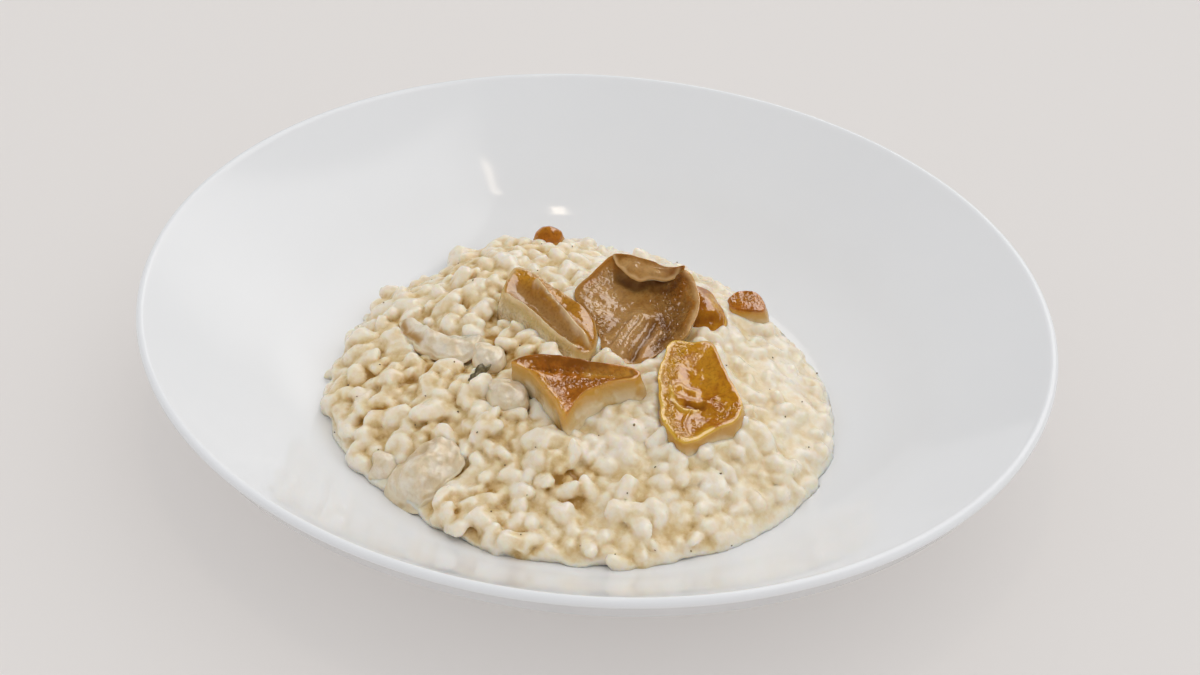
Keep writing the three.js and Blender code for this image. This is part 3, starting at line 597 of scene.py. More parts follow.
def heapTop(x, y):  # the bare heap's surface over a point of the row frame
    share = np.minimum(shareOf(x, y), 1)
    base = plateFaceAt(x, y)
    rise = heapSizes["height"] * (1 - share ** heapSizes["power"]) ** heapSizes["shoulder"]
    rise = rise + (base - plateSizes["floorTop"]) * share ** 2
    return np.maximum(plateSizes["floorTop"] + rise, base)


def rimPoints(corners, steps):  # a smooth closed curve through the corners, evenly spaced
    corners = np.array(corners, float)
    t = np.linspace(0, 1, 40, endpoint=False)[:, None]
    dense = []
    for i in range(len(corners)):
        a, b, c, d = (corners[(i + k) % len(corners)] for k in (-1, 0, 1, 2))
        before, here, after = (max(np.linalg.norm(q - p) ** 0.5, 1e-4) for p, q in ((a, b), (b, c), (c, d)))
        leave = ((b - a) / before - (c - a) / (before + here) + (c - b) / here) * here
        arrive = ((c - b) / here - (d - b) / (here + after) + (d - c) / after) * here
        square, cube = 3 * (c - b) - 2 * leave - arrive, 2 * (b - c) + leave + arrive
        dense.append(b + leave * t + square * t ** 2 + cube * t ** 3)
    dense = np.concatenate(dense + [dense[0][:1]])
    walked = np.concatenate([[0], np.cumsum(np.linalg.norm(np.diff(dense, axis=0), axis=1))])
    places = np.linspace(0, walked[-1], steps, endpoint=False)
    return np.stack([np.interp(places, walked, dense[:, k]) for k in range(3)], axis=1)


def depthInRims(x, y, kind):  # how deep points of the serving frame lie within the nearest topping's outline
    depth = np.full(len(x), -1.0)
    for name, topping in toppings.items():
        if not name.startswith(kind):
            continue
        rim = rimPoints(topping["rim"], 90) * mm
        px, py = x - topping["at"][0] * mm, y - topping["at"][1] * mm
        ax, ay = rim[:, 0], rim[:, 1]
        bx, by = np.roll(ax, -1), np.roll(ay, -1)
        near = (np.abs(px) < 40 * mm) & (np.abs(py) < 40 * mm)
        qx, qy = px[near][:, None], py[near][:, None]
        crossing = ((ay > qy) != (by > qy)) & (qx < (bx - ax) * (qy - ay) / (by - ay + 1e-12) + ax)
        inside = crossing.sum(axis=1) % 2 == 1
        distance = np.hypot(qx - ax, qy - ay).min(axis=1)
        depth[near] = np.maximum(depth[near], np.where(inside, distance, -distance))
    return depth


def cloud(x, y, size, level):
    return np.array([noise.noise(Vector((a / size, b / size, level))) for a, b in zip(x, y)])


def cloudAt(points, size):
    return np.array([noise.noise(Vector(p)) for p in (points / size).tolist()])


def bell(x, y, atX, atY, reach):  # a soft spot of the serving frame, given in mm
    return np.exp(-((x / mm - atX) ** 2 + (y / mm - atY) ** 2) / reach ** 2)


def coarseness(x, y):  # of the heap over the serving frame: rough at the left and front, calm at the right
    return smoothStep(*heapSizes["coarse"], x + heapSizes["aslant"] * y)


def besideToppings(x, y):  # how far the rice leans up against some toppings, and lies lower round others
    h = heapSizes
    lean, dip = np.zeros(len(x)), np.zeros(len(x))
    for name, topping in toppings.items():
        rise = topping.get("rice", -h["dip"] if name.startswith("coated") else h["lean"]) * mm
        depth = depthInRims(x, y, name)
        if rise > 0:
            band = smoothStep(*h["leanComes"], depth) * (1 - smoothStep(*h["leanGoes"], depth))
            lean = np.maximum(lean, band * rise)
        else:
            dip = np.maximum(dip, smoothStep(*h["dipComes"], depth) * -rise)
    return lean, dip


coreSizes = {
    "turns": 240, "rings": 80, "crowding": 1.6, "drop": 1.3 * mm, "inner": (0.85, 0.97),
    # broad clumps: height, size and noise level of both clouds, and their shares in calm and in coarse rice
    "clumpRise": 2.2 * mm, "clumpClouds": [(16 * mm, 3.7), (16 * mm / 2.3, 8.1)], "clumps": (0.5, 0.8),
    "edgePower": 6, "calming": 0.6, "calmedBy": 2.5 * mm,  # the rice's lean beside a topping calms them
    "mounds": [  # x, y, reach and height in mm
        (-50, 50, 11, -2.5), (4, -43, 4.5, 1.5), (11, -38.5, 4.5, 2.0), (17, -34.5, 4.0, 1.5),
        (-10, -49, 6.5, 2.2), (-2, -52, 5, 1.6), (-18, -47, 5, 1.2), (-45, -30, 8, 1.5), (-58, 28, 9, 1.5),
        (20, -66, 8, 1.2),
    ],
    "backDip": 1.8 * mm, "backAway": (20 * mm, 60 * mm), "backAcross": (-25 * mm, 15 * mm),
    "least": 1.5, "thinner": 0.9, "thinEdge": (0.93, 1),  # least depth in mm, and how it thins at the edge
    "edgeWave": 1.8 * mm, "edgeWaves": [(8, 2.2), (17, 6.4)],  # depth, then fineness and noise level
    "dent": (2.75, 0.16, 4 * mm), "inset": 1.2 * mm, "calmInset": -1.2 * mm,
    "under": (0.995, 0.9, 0.75), "gap": 0.35 * mm,
    "bareEnds": (-0.9 * mm, -0.5 * mm), "bareEdge": (0.955, 0.985),
    "swell": 1.0 * mm, "swellCloud": (13 * mm, 21.3),
    "looseCloud": (16 * mm, 5.5), "loose": (-0.35, 0.3),
    "looseDepth": (2 * mm, 3.5 * mm), "looseDip": (0.2 * mm, 1.2 * mm),
}


def coreTop(x, y, share):
    c = coreSizes
    across, away = toServing(x, y)
    lean, dip = besideToppings(across, away)
    first, second = (cloud(x, y, *place) for place in c["clumpClouds"])
    clumps = c["clumpRise"] * (first + 0.5 * second)
    calm, coarse = c["clumps"]
    waves = clumps * (calm + coarse * coarseness(across, away))
    waves = waves * (1 - c["calming"] * smoothStep(0, c["calmedBy"], lean))
    top = heapTop(x, y) - c["drop"] + waves * (1 - share ** c["edgePower"])
    for *spot, height in c["mounds"]:
        top = top + height * mm * bell(across, away, *spot)
    top = top + (lean - dip) * (1 - smoothStep(*c["inner"], share))
    top = top - c["backDip"] * smoothStep(*c["backAway"], away) * smoothStep(*c["backAcross"], across)
    least = c["least"] - c["thinner"] * smoothStep(*c["thinEdge"], share)
    return np.maximum(top, plateFaceAt(x, y) + least * mm)


def coreOutline(angles):
    c = coreSizes
    x, y = np.cos(angles), np.sin(angles)
    first, second = (cloud(x * many, y * many, 1.0, level) for many, level in c["edgeWaves"])
    calm = 1 - coarseness(*toServing(60 * mm * x, 60 * mm * y))
    wave = (first + 0.6 * second) * c["edgeWave"] * (1 - 0.7 * calm)
    where, width, depth = c["dent"]
    wave = wave - depth * np.exp(-((angles - where) / width) ** 2)
    return heapReach(angles, c["inset"] * (1 - calm) + c["calmInset"] * calm) + wave


def coreMasks(points, share):  # where grains lie, how far they are pushed out, and where a second layer lies
    c = coreSizes
    x, y = toServing(points[:, 0], points[:, 1])
    coarse = coarseness(x, y)
    bare = 1 - smoothStep(*c["bareEnds"], depthInRims(x, y, ""))
    bare[1 + c["rings"] * c["turns"]:] = 0
    swell = np.clip(cloud(x, y, *c["swellCloud"]) * 1.5, -1, 1) * (0.5 + 0.5 * coarse) - 0.5 * (1 - coarse)
    deep = coreTop(points[:, 0], points[:, 1], share) - plateFaceAt(points[:, 0], points[:, 1])
    loose = bare * coarse * smoothStep(*c["loose"], cloud(x, y, *c["looseCloud"]))
    loose = loose * smoothStep(*c["looseDepth"], deep)
    loose = loose * (1 - smoothStep(*c["looseDip"], besideToppings(x, y)[1]))
    bare = bare * (1 - (0.3 + 0.7 * (1 - coarse)) * smoothStep(*c["bareEdge"], share))
    return {"bare": bare, "swell": swell * c["swell"], "loose": loose}


def makeCore():  # the sauce that the grains lie in, closed underneath
    c = coreSizes
    turns, rings = c["turns"], c["rings"]
    shares = 1 - (1 - np.linspace(0, 1, rings + 1)[1:]) ** c["crowding"]
    angle, share = np.meshgrid(np.linspace(0, 2 * np.pi, turns, endpoint=False), shares)
    angle, share = angle.ravel(), share.ravel()
    reach = coreOutline(angle)
    x = share * reach * np.cos(angle)
    y = share * reach * np.sin(angle)
    top = np.stack([x, y, coreTop(x, y, share)], axis=1)
    under = []
    for part in c["under"]:
        x, y = top[-turns:, 0] * part, top[-turns:, 1] * part
        under.append(np.stack([x, y, plateFaceAt(x, y) + c["gap"]], axis=1))
    crown = coreTop(np.zeros(1), np.zeros(1), np.zeros(1))[0]
    points = np.concatenate([[(0, 0, crown)], top, *under, [(0, 0, plateSizes["floorTop"] + c["gap"])]])
    share = np.concatenate([[0], share, np.ones(len(under) * turns + 1)])
    mesh = newMesh("core", points.tolist(), ringFaces(rings + len(under), turns))
    for key, values in coreMasks(points, share).items():
        setMask(mesh, key, values)
    return addObject("core", mesh)


riceGrains = {
    # length, width, thickness and bend in mm
    "kinds": [(8.8, 5.0, 4.2, 0.5), (7.8, 5.1, 4.3, 0.2), (9.4, 4.6, 4.0, 0.7), (7.0, 5.0, 4.3, 0.1),
              (8.4, 4.4, 3.8, 0.4)],
    "lumps": [(12.0, 8.4, 5.4, 0.5), (9.6, 7.8, 5.6, 0.3), (11.0, 6.8, 5.0, 0.8)],
    "rings": 7, "sides": 10, "uneven": 0.1, "lumpUneven": 0.45,
    "bed": {"Where": "bare", "Seed": 4, "Tilt": 0.55,
            "Spacing": 3.9 * mm, "Lowest": -1.7 * mm, "Highest": 0.9 * mm},
    "heaped": {"Where": "loose", "Seed": 12, "Tilt": 0.6,
               "Spacing": 5.6 * mm, "Lowest": 0.6 * mm, "Highest": 1.9 * mm},
    "mostDense": 400000.0, "scales": (0.72, 1.15), "seeds": {"lift": 5, "spin": 3, "size": 7},
}


grainForm = {"blunt": 0.7, "taper": 0.1, "dents": 2.2}  # dents: how many to a width


def makeGrain(name, size, p):
    length, width, thickness, bend = size
    rings, sides = p["rings"], p["sides"]
    points = [(length / 2, 0, 0)]
    for r in range(rings):
        turn = math.pi * (r + 1) / (rings + 1)
        along = math.cos(turn) * length / 2
        fat = math.sin(turn) ** grainForm["blunt"] * (1 + grainForm["taper"] * math.cos(turn))
        sag = bend * (1 - (2 * along / length) ** 2)
        points += [(along, fat * width / 2 * math.cos(a) + sag, fat * thickness / 2 * math.sin(a))
                   for a in np.linspace(0, -2 * math.pi, sides, endpoint=False)]
    points.append((-length / 2, 0, 0))
    points = [Vector(point) for point in points]
    start = Vector((length, 0, 0))
    swells = [noise.noise(point * grainForm["dents"] / width + start) for point in points]
    points = [tuple(point * (1 + p["uneven"] * swell) * mm) for point, swell in zip(points, swells)]
    mesh = newMesh(name, points, ringFaces(rings, sides))
    fixed = bmesh.new()
    fixed.from_mesh(mesh)
    bmesh.ops.recalc_face_normals(fixed, faces=fixed.faces)
    fixed.to_mesh(mesh)
    fixed.free()
    shadeSmooth(mesh)
    return bpy.data.objects.new(name, mesh)


def makeScatter(name, kinds, material):
    inputs = {"Geometry": "Geometry", "Where": "String", "Seed": "Int"}
    inputs.update({label: "Float" for label in ("Spacing", "Lowest", "Highest", "Tilt")})
    tree, given, leave = newGroup(name, inputs, {"Geometry": "Geometry"}, "GeometryNodeTree")
    seeds = riceGrains["seeds"]

    def step(kind, inputs, output=0, **settings):
        return addNode(tree, kind, inputs, **settings).outputs[output]

    def drawn(seed, low, high):
        return step("FunctionNodeRandomValue", {2: low, 3: high, "Seed": seeds[seed]}, 1, data_type="FLOAT")

    where = step("GeometryNodeInputNamedAttribute", {"Name": given["Where"]}, data_type="FLOAT")
    swell = step("GeometryNodeInputNamedAttribute", {"Name": "swell"}, data_type="FLOAT")
    spots = addNode(tree, "GeometryNodeDistributePointsOnFaces", {
        "Mesh": given["Geometry"], "Distance Min": given["Spacing"], "Density Max": riceGrains["mostDense"],
        "Density Factor": where, "Seed": given["Seed"],
    }, distribute_method="POISSON").outputs
    choices = tree.nodes.new("GeometryNodeJoinGeometry")
    for kind in kinds:
        shape = step("GeometryNodeObjectInfo", {"Object": kind}, "Geometry")
        tree.links.new(step("GeometryNodeGeometryToInstance", {"Geometry": shape}), choices.inputs[0])
    height = calculate(tree, "ADD", drawn("lift", given["Lowest"], given["Highest"]), swell)
    upwards = step("ShaderNodeVectorMath", {0: spots["Normal"], "Scale": height}, operation="SCALE")
    grains = step("GeometryNodeSetPosition", {"Geometry": spots["Points"], "Offset": upwards})
    grains = step("GeometryNodeInstanceOnPoints", {
        "Points": grains, "Rotation": spots["Rotation"],
        "Instance": choices.outputs[0], "Pick Instance": True,
    })
    tilt = step("ShaderNodeCombineXYZ", {"X": given["Tilt"], "Y": given["Tilt"], "Z": math.pi})
    back = step("ShaderNodeVectorMath", {0: tilt, 1: (-1, -1, -1)}, operation="MULTIPLY")
    inputs = {0: back, 1: tilt, "Seed": seeds["spin"]}
    spin = step("FunctionNodeRandomValue", inputs, data_type="FLOAT_VECTOR")
    grains = step("GeometryNodeRotateInstances", {"Instances": grains, "Rotation": spin})
    size = drawn("size", *riceGrains["scales"])
    grains = step("GeometryNodeScaleInstances", {"Instances": grains, "Scale": size})
    grains = step("GeometryNodeRealizeInstances", {"Geometry": grains})
    grains = step("GeometryNodeSetMaterial", {"Geometry": grains, "Material": material})
    tree.links.new(grains, leave.inputs[0])
    return tree


def evaluatedMesh(thing, name):
    graph = bpy.context.evaluated_depsgraph_get()
    mesh = bpy.data.meshes.new_from_object(thing.evaluated_get(graph))
    mesh.name = name
    return mesh


def scatter(carrier, tree, name, values):
    modifier = carrier.modifiers.new("scatter", "NODES")
    modifier.node_group = tree
    for item in tree.interface.items_tree:
        if item.item_type == "SOCKET" and item.in_out == "INPUT" and item.name in values:
            modifier[item.identifier] = values[item.name]
    mesh = evaluatedMesh(carrier, name)
    carrier.modifiers.remove(modifier)
    return mesh


def modified(thing, kind, **settings):
    modifier = thing.modifiers.new(kind, kind)
    for key, value in settings.items():
        setattr(modifier, key, value)
    mesh = evaluatedMesh(thing, thing.name)
    thing.modifiers.clear()
    return mesh


def readVectors(items, key):
    values = np.empty(3 * len(items), np.float32)
    items.foreach_get(key, values)
    return values.reshape(-1, 3).astype(float)


def pointsOf(mesh):
    return readVectors(mesh.vertices, "co")


def normalsOf(mesh):
    return readVectors(mesh.vertex_normals, "vector")


def averager(mesh):  # gives the mean of each point's neighbours
    count = len(mesh.vertices)
    edges = np.empty(2 * len(mesh.edges), np.int32)
    mesh.edges.foreach_get("vertices", edges)
    a, b = edges.reshape(-1, 2).T
    degree = np.maximum(np.bincount(a, minlength=count) + np.bincount(b, minlength=count), 1)

    def average(values):
        sums = [np.bincount(a, v[b], count) + np.bincount(b, v[a], count) for v in values.T]
        return np.stack(sums, axis=1) / degree[:, None]

    return average


settling = {
    "rounds": 22, "fill": (0.3, 0.55), "wear": (0.10, 0.04), "creamSize": 9 * mm, "creamy": (-0.25, 0.25),
    "curdle": [(1.7, 0.13), (3.3, 0.3), (6.5, 0.45)],  # the sauce's fine bumps: size and depth in mm
    # the heap spreads towards the viewer, but not past its edge pieces (x, y and reach in mm)
    "spread": (0.006, 0.016), "front": (-20 * mm, 25 * mm), "outer": (0.78, 1), "kept": (-57, -57, 16),
    "thins": (0.1 * mm, 1.2 * mm), "sunk": 0.35 * mm, "sinks": (0, 0.9 * mm),
}


def settle(mesh, s):  # the sauce fills the creases and barely wears the grains down
    average = averager(mesh)
    points, normals = pointsOf(mesh), normalsOf(mesh)
    calm = 1 - coarseness(*toServing(points[:, 0], points[:, 1]))
    creamy = smoothStep(*s["creamy"], cloudAt(points, s["creamSize"]))
    fill = s["fill"][0] + s["fill"][1] * np.maximum(creamy, 0.5 * calm)
    wear = s["wear"][0] + s["wear"][1] * calm
    for _ in range(s["rounds"]):
        step = ((average(points) - points) * normals).sum(axis=1)
        points += normals * (fill * np.maximum(step, 0) + wear * np.minimum(step, 0))[:, None]
    for size, depth in s["curdle"]:
        points += normals * (cloudAt(points, size * mm) * depth * mm)[:, None]
    x, y = points[:, 0], points[:, 1]
    above = points[:, 2] - plateFaceAt(x, y)
    share = shareOf(x, y)
    across, away = toServing(x, y)
    spread = s["spread"][0] + s["spread"][1] * (1 - smoothStep(*s["front"], away))
    spread = spread * (1 - bell(across, away, *s["kept"]))
    points[:, :2] *= (1 + spread * smoothStep(*s["outer"], share))[:, None]
    # the edge thins out on the plate and ends just inside its glaze
    base = plateFaceAt(points[:, 0], points[:, 1])
    sunk = s["sunk"] * (1 - smoothStep(*s["sinks"], above))
    points[:, 2] = base + above * smoothStep(*s["thins"], above) - sunk
    mesh.vertices.foreach_set("co", points.astype(np.float32).ravel())
    mesh.update()


def reliefOf(mesh, rounds):  # how far each point lies above the surface smoothed over its neighbours, in mm
    average = averager(mesh)
    points = pointsOf(mesh)
    smooth = points
    for _ in range(rounds):
        smooth = average(smooth)
    return ((points - smooth) * normalsOf(mesh)).sum(axis=1) / mm


def plateSurface(point):
    return float(plateFaceAt(np.float64(point.x), np.float64(point.y)))


def closeUnderside(mesh, h):  # the hidden flat underside becomes a few large faces
    work = bmesh.new()
    work.from_mesh(mesh)
    low = [f for f in work.faces if f.normal.z < h["underFacing"]]
    low = [f for f in low if max(v.co.z - plateSurface(v.co) for v in f.verts) < h["underBelow"]]
    bmesh.ops.delete(work, geom=low, context="FACES")
    rim = [e for e in work.edges if e.is_boundary]
    made = bmesh.ops.holes_fill(work, edges=rim, sides=0)
    bmesh.ops.triangulate(work, faces=made["faces"])
    work.to_mesh(mesh)
    work.free()


creamLook = {
    "tones": [  # from the pale backs of the grains down to the buttery sauce and painted shade in the hollows
        (0.0, (0.88, 0.82, 0.72)), (0.26, (0.85, 0.75, 0.575)), (0.5, (0.79, 0.64, 0.395)),
        (0.75, (0.68, 0.49, 0.23)), (1.0, (0.44, 0.23, 0.045)),
    ],
    "patch": (190.0, 0.35, 0.7), "fine": (620.0, 0.38, 0.62), "mottling": 0.12, "rough": (0.26, 0.42),
    "grit": (900.0, 0.0003, 0.3),
    "plain": {
        "Specular IOR Level": 0.3, "Coat Weight": 0.12, "Coat Roughness": 0.2, "Subsurface Weight": 0.75,
        "Subsurface Radius": (1.0, 0.7, 0.38), "Subsurface Scale": 2.6 * mm,
    },
}


def makeCream(p):
    material, tree, shader, coordinates = newMaterial("creamyRice")
    patch, fine = (mottle(tree, coordinates, *p[key]) for key in ("patch", "fine"))
    mixed = calculate(tree, "MULTIPLY", calculate(tree, "ADD", patch, fine), p["mottling"])
    depth = calculate(tree, "ADD", attribute(tree, "sauce"), mixed)
    tones = addNode(tree, "ShaderNodeValToRGB", {"Fac": depth})
    while len(tones.color_ramp.elements) < len(p["tones"]):
        tones.color_ramp.elements.new(0.5)
    for element, (place, color) in zip(tones.color_ramp.elements, p["tones"]):
        element.position = place
        element.color = (*color, 1)
    fillInputs(tree, shader, {
        "Base Color": tones.outputs["Color"],
        "Roughness": ramp(tree, patch, 0, 1, *p["rough"]),
        "Normal": grit(tree, coordinates, *p["grit"]),
        **p["plain"],
    })
    return material


def joinMeshes(name, meshes):
    joined = bmesh.new()
    for mesh in meshes:
        joined.from_mesh(mesh)
    result = bpy.data.meshes.new(name)
    joined.to_mesh(result)
    joined.free()
    return result


# relief and hollow darken the rice where it lies below its neighbours: painted shade in the creases, along
# with the sauce that gathers there
sauce = {  # each pair is the share everywhere and what is added where the rice is coarse
    "base": (0.18, 0.17), "relief": (0.35, 0.03), "hollow": (0.10, 0.14),
    "streaks": 0.34, "streaky": (0.4, 0.6), "streakSize": 11 * mm,
    "footFilmAndShade": 0.22, "footFilmAndShadeEnds": (0.2, 1.6),  # a sauce film and painted shade at the foot of the heap, in mm above the plate
    "wet": (0.55, 0.5), "edgeMost": (0.55, 0.45), "edgeEnds": (0.3, 1.2),
    # where buttery sauce gathers, and where it is missing, with some spots of painted shadow: x, y and reach
    # in mm, and how deep it is
    "pools": [
        (-68, -7, 5, 0.5), (-49, -11, 4, 0.6), (-39, -15, 3.5, 0.6), (-31.5, -1.5, 2.5, 0.8),
        (-29, 17, 3, 0.6), (-25, 9, 3, 0.5), (-45, 42, 6, 0.5), (-21, 58, 4, 0.4), (-49, -43, 4, 0.7),
        # (-11, -56.5) and (-6.5, -58.5) are painted shadow below the raised lump at (-10, -49)
        (-58, -61, 5, 0.8), (-41, -54, 3, 0.5), (-11, -56.5, 4, 0.7), (-6.5, -58.5, 4, 0.7),
        (1, -57, 2.5, 0.9), (15, -55.5, 3, 0.4), (-20, -83, 5, 0.6), (-10, -85, 5, 0.5),
        (41.5, -45, 4, 0.4), (-77, -17, 5, 0.4), (-64, -26, 4, 0.5), (2, -49, 11, -0.35),
        (18, -50, 9, -0.3), (38, -58, 12, -0.15), (-28, 50, 16, 0.16), (0, -75, 22, -0.12),
    ],
}


def sauceAndShadeOf(s, points, relief, hollow):  # how much sauce, and painted shade where the rice lies low, shows at each point, from none to all
    x, y = toServing(points[:, 0], points[:, 1])
    coarse = coarseness(x, y)

    def weight(name):
        return s[name][0] + s[name][1] * coarse

    low = weight("base") - weight("relief") * relief - weight("hollow") * hollow
    low = low + s["streaks"] * cloudAt(points, s["streakSize"]) * weight("streaky")
    above = (points[:, 2] - plateFaceAt(points[:, 0], points[:, 1])) / mm
    wet = sum(deep * bell(x, y, *spot) for *spot, deep in s["pools"])
    most, less = s["wet"]
    low = low + s["footFilmAndShade"] * coarse * (1 - smoothStep(*s["footFilmAndShadeEnds"], above))
    low = low + wet * (most - less * np.clip(relief, -1, 1))
    most, more = s["edgeMost"]
    return np.clip(low, 0, most + more * smoothStep(*s["edgeEnds"], above))


def makeHeap(h, g):
    cream = makeCream(creamLook)
    core = makeCore()
    kinds = [makeGrain(f"grain{i}", size, g) for i, size in enumerate(g["kinds"])]
    lumpy = {**g, "uneven": g["lumpUneven"]}
    lumps = [makeGrain(f"lump{i}", size, lumpy) for i, size in enumerate(g["lumps"])]
    layers = [("bed", kinds), ("heaped", kinds[:2] + lumps)]
    grains = [scatter(core, makeScatter(layer, shapes, cream), layer, g[layer]) for layer, shapes in layers]
    print("grains:", [len(mesh.polygons) // (g["sides"] * (g["rings"] + 1)) for mesh in grains])
    heap = addObject("risotto_heap", joinMeshes("mass", [core.data, *grains]))
    heap.data = modified(heap, "REMESH", mode="VOXEL", voxel_size=h["voxel"])
    settle(heap.data, settling)
    closeUnderside(heap.data, h)
    fused = heap.data = modified(heap, "DECIMATE", ratio=h["keep"])
    fused.materials.clear()
    fused.materials.append(cream)
    shadeSmooth(fused)
    fused.update()
    relief, hollow = reliefOf(fused, h["reliefRounds"]), reliefOf(fused, h["hollowRounds"])
    setMask(fused, "sauce", sauceAndShadeOf(sauce, pointsOf(fused), relief, hollow))
    print("heap triangles:", sum(len(f.vertices) - 2 for f in fused.polygons))
    dress(heap, ["risotto"])
    for spare in kinds + lumps + [core]:
        bpy.data.objects.remove(spare)
    return heap


def lieOn(heap, x, y):  # the heap's surface over a point of the serving frame, in the row frame
    spot = toRow(x * mm, y * mm, 0.1)
    hit, place, normal, _ = heap.ray_cast(spot, Vector((0, 0, -1)))
    return (place, normal) if hit else (toRow(x * mm, y * mm, plateSurface(spot)), Vector((0, 0, 1)))


crumbs = {
    "pepper": {
        "Spacing": 10 * mm, "Seed": 8, "Lowest": 0.0, "Highest": 0.2 * mm, "Tilt": 1.5, "Where": "spicy",
        "sizes": [(0.8, 0.6, 0.5, 0), (0.6, 0.5, 0.4, 0), (0.9, 0.7, 0.4, 0)],
        "rings": 3, "sides": 6, "uneven": 0.5,
        "upright": (0.2, 0.6), "patches": (30 * mm, 14.0), "patchy": (-0.4, 0.5),
        "color": (0.22, 0.15, 0.07), "dark": (0.22, 0.15, 0.07),
    },
    "skin": {  # x, y, turn in degrees and length, width, thickness and bend in mm
        "spots": [(-34, -20.3, 20, (7.5, 3.2, 1.6, 0.8)), (-35.5, -21.5, 50, (4.5, 2.2, 1.4, 0.5))],
        "rings": 9, "sides": 14, "uneven": 0.7, "raised": 0.2 * mm,
        "color": (0.22, 0.18, 0.09), "dark": (0.10, 0.075, 0.03),
    },
    "patch": (700.0, 0.35, 0.65), "rough": 0.35,
}


def makeCrumb(name, p):
    material, tree, shader, coordinates = newMaterial(name)
    color = mixColor(tree, mottle(tree, coordinates, *crumbs["patch"]), p["color"], p["dark"])
    fillInputs(tree, shader, {"Base Color": color, "Roughness": crumbs["rough"]})
    return material


def makePepper(heap, p):
    shapes = [makeGrain(f"speck{i}", size, p) for i, size in enumerate(p["sizes"])]
    points, upwards = pointsOf(heap.data), normalsOf(heap.data)[:, 2]
    patches = cloud(*toServing(points[:, 0], points[:, 1]), *p["patches"])
    setMask(heap.data, "spicy", smoothStep(*p["upright"], upwards) * smoothStep(*p["patchy"], patches))
    mesh = scatter(heap, makeScatter("pepperScatter", shapes, makeCrumb("pepper", p)), "pepper_specks", p)
    heap.data.attributes.remove(heap.data.attributes["spicy"])
    for shape in shapes:
        bpy.data.objects.remove(shape)
    dress(addObject("pepper_specks", mesh))


def makeBits(heap, name, p):
    bits = []
    for x, y, turn, size in p["spots"]:
        bit = makeGrain(name, size, p)
        place, normal = lieOn(heap, x, y)
        along = normal.to_track_quat("Z", "Y").to_matrix().to_4x4()
        spin = Matrix.Rotation(math.radians(turn), 4, "Z")
        bit.data.transform(Matrix.Translation(place + normal * p["raised"]) @ along @ spin)
        bits.append(bit.data)
        bpy.data.objects.remove(bit)
    mesh = joinMeshes(name, bits)
    mesh.materials.append(makeCrumb(name, p))
    shadeSmooth(mesh)
    dress(addObject(name, mesh))


heap = makeHeap(heapSizes, riceGrains)
makePepper(heap, crumbs["pepper"])
makeBits(heap, "mushroom_skin", crumbs["skin"])
print("rice made")

# mushrooms

toppingSizes = {
    "steps": 168, "rings": 40, "crowding": 0.9, "sideRings": 14, "bottomRings": (0.85, 0.45),
    "rounding": 0.7, "roundFrom": (0.9, 1.0), "leastSide": 1.5, "bulge": 0.45,
    "flapSteps": 144, "flapRings": 26,
    # size, amount and noise level of the shakes, in mm
    "wander": (2.5, 0.35, 4.2), "buckle": (5.0, 0.5, 9.0), "wrinkle": (1.6, 0.26, 2.0), "smooth": 0.3,
    "cream": [(6.0, 1.0, 6.0), (2.4, 0.55, 8.0)],
    "face": (0.93, 1.02), "visible": (1.5, 2.0),
}


def distanceTo(x, y, start, end):  # from points to the line between two others
    (ax, ay), (bx, by) = start, end
    dx, dy = bx - ax, by - ay
    t = np.clip(((x - ax) * dx + (y - ay) * dy) / (dx * dx + dy * dy), 0, 1)
    return np.hypot(x - ax - t * dx, y - ay - t * dy)


def ridgeLift(ridges, x, y):
    total = np.zeros_like(x)
    for start, end, width, lift in ridges:
        total += lift * np.exp(-(distanceTo(x, y, start, end) / width) ** 2)
    return total


def strokeMasks(strokes, points):  # each stroke fades out from its path
    masks = {key: np.zeros(len(points)) for key in ("lift", "dark", "pale", "gold", "grey", "rough")}
    for line in strokes:
        parts = zip(line["path"], line["path"][1:])
        away = np.min([distanceTo(points[:, 0], points[:, 1], start, end) for start, end in parts], axis=0)
        reach = np.exp(-(away / line["width"]) ** 2)
        for key in masks:
            mark = line.get(key, 0) * reach
            masks[key] = masks[key] + mark if key == "lift" else np.maximum(masks[key], mark)
    return masks


def shake(points, size, amount, level):  # an offset in all three directions from smooth noise
    start = Vector((level, level, level))
    return np.array([noise.noise_vector(Vector(p) / size + start) for p in points.tolist()]) * amount


def faceRings(t, edge, rings):
    centre = np.array(t["centre"], float)
    found = []
    for share in np.linspace(1 / rings, 1, rings) ** toppingSizes["crowding"]:
        ring = centre + (edge - centre) * np.array([share, share, share ** t["bowl"]])
        ring[:, 2] += (1 - share ** 8) * ridgeLift(t["ridges"], ring[:, 0], ring[:, 1])
        found.append((share, ring))
    top = centre + np.array([0, 0, float(ridgeLift(t["ridges"], centre[:1], centre[1:2])[0])])
    return top, found


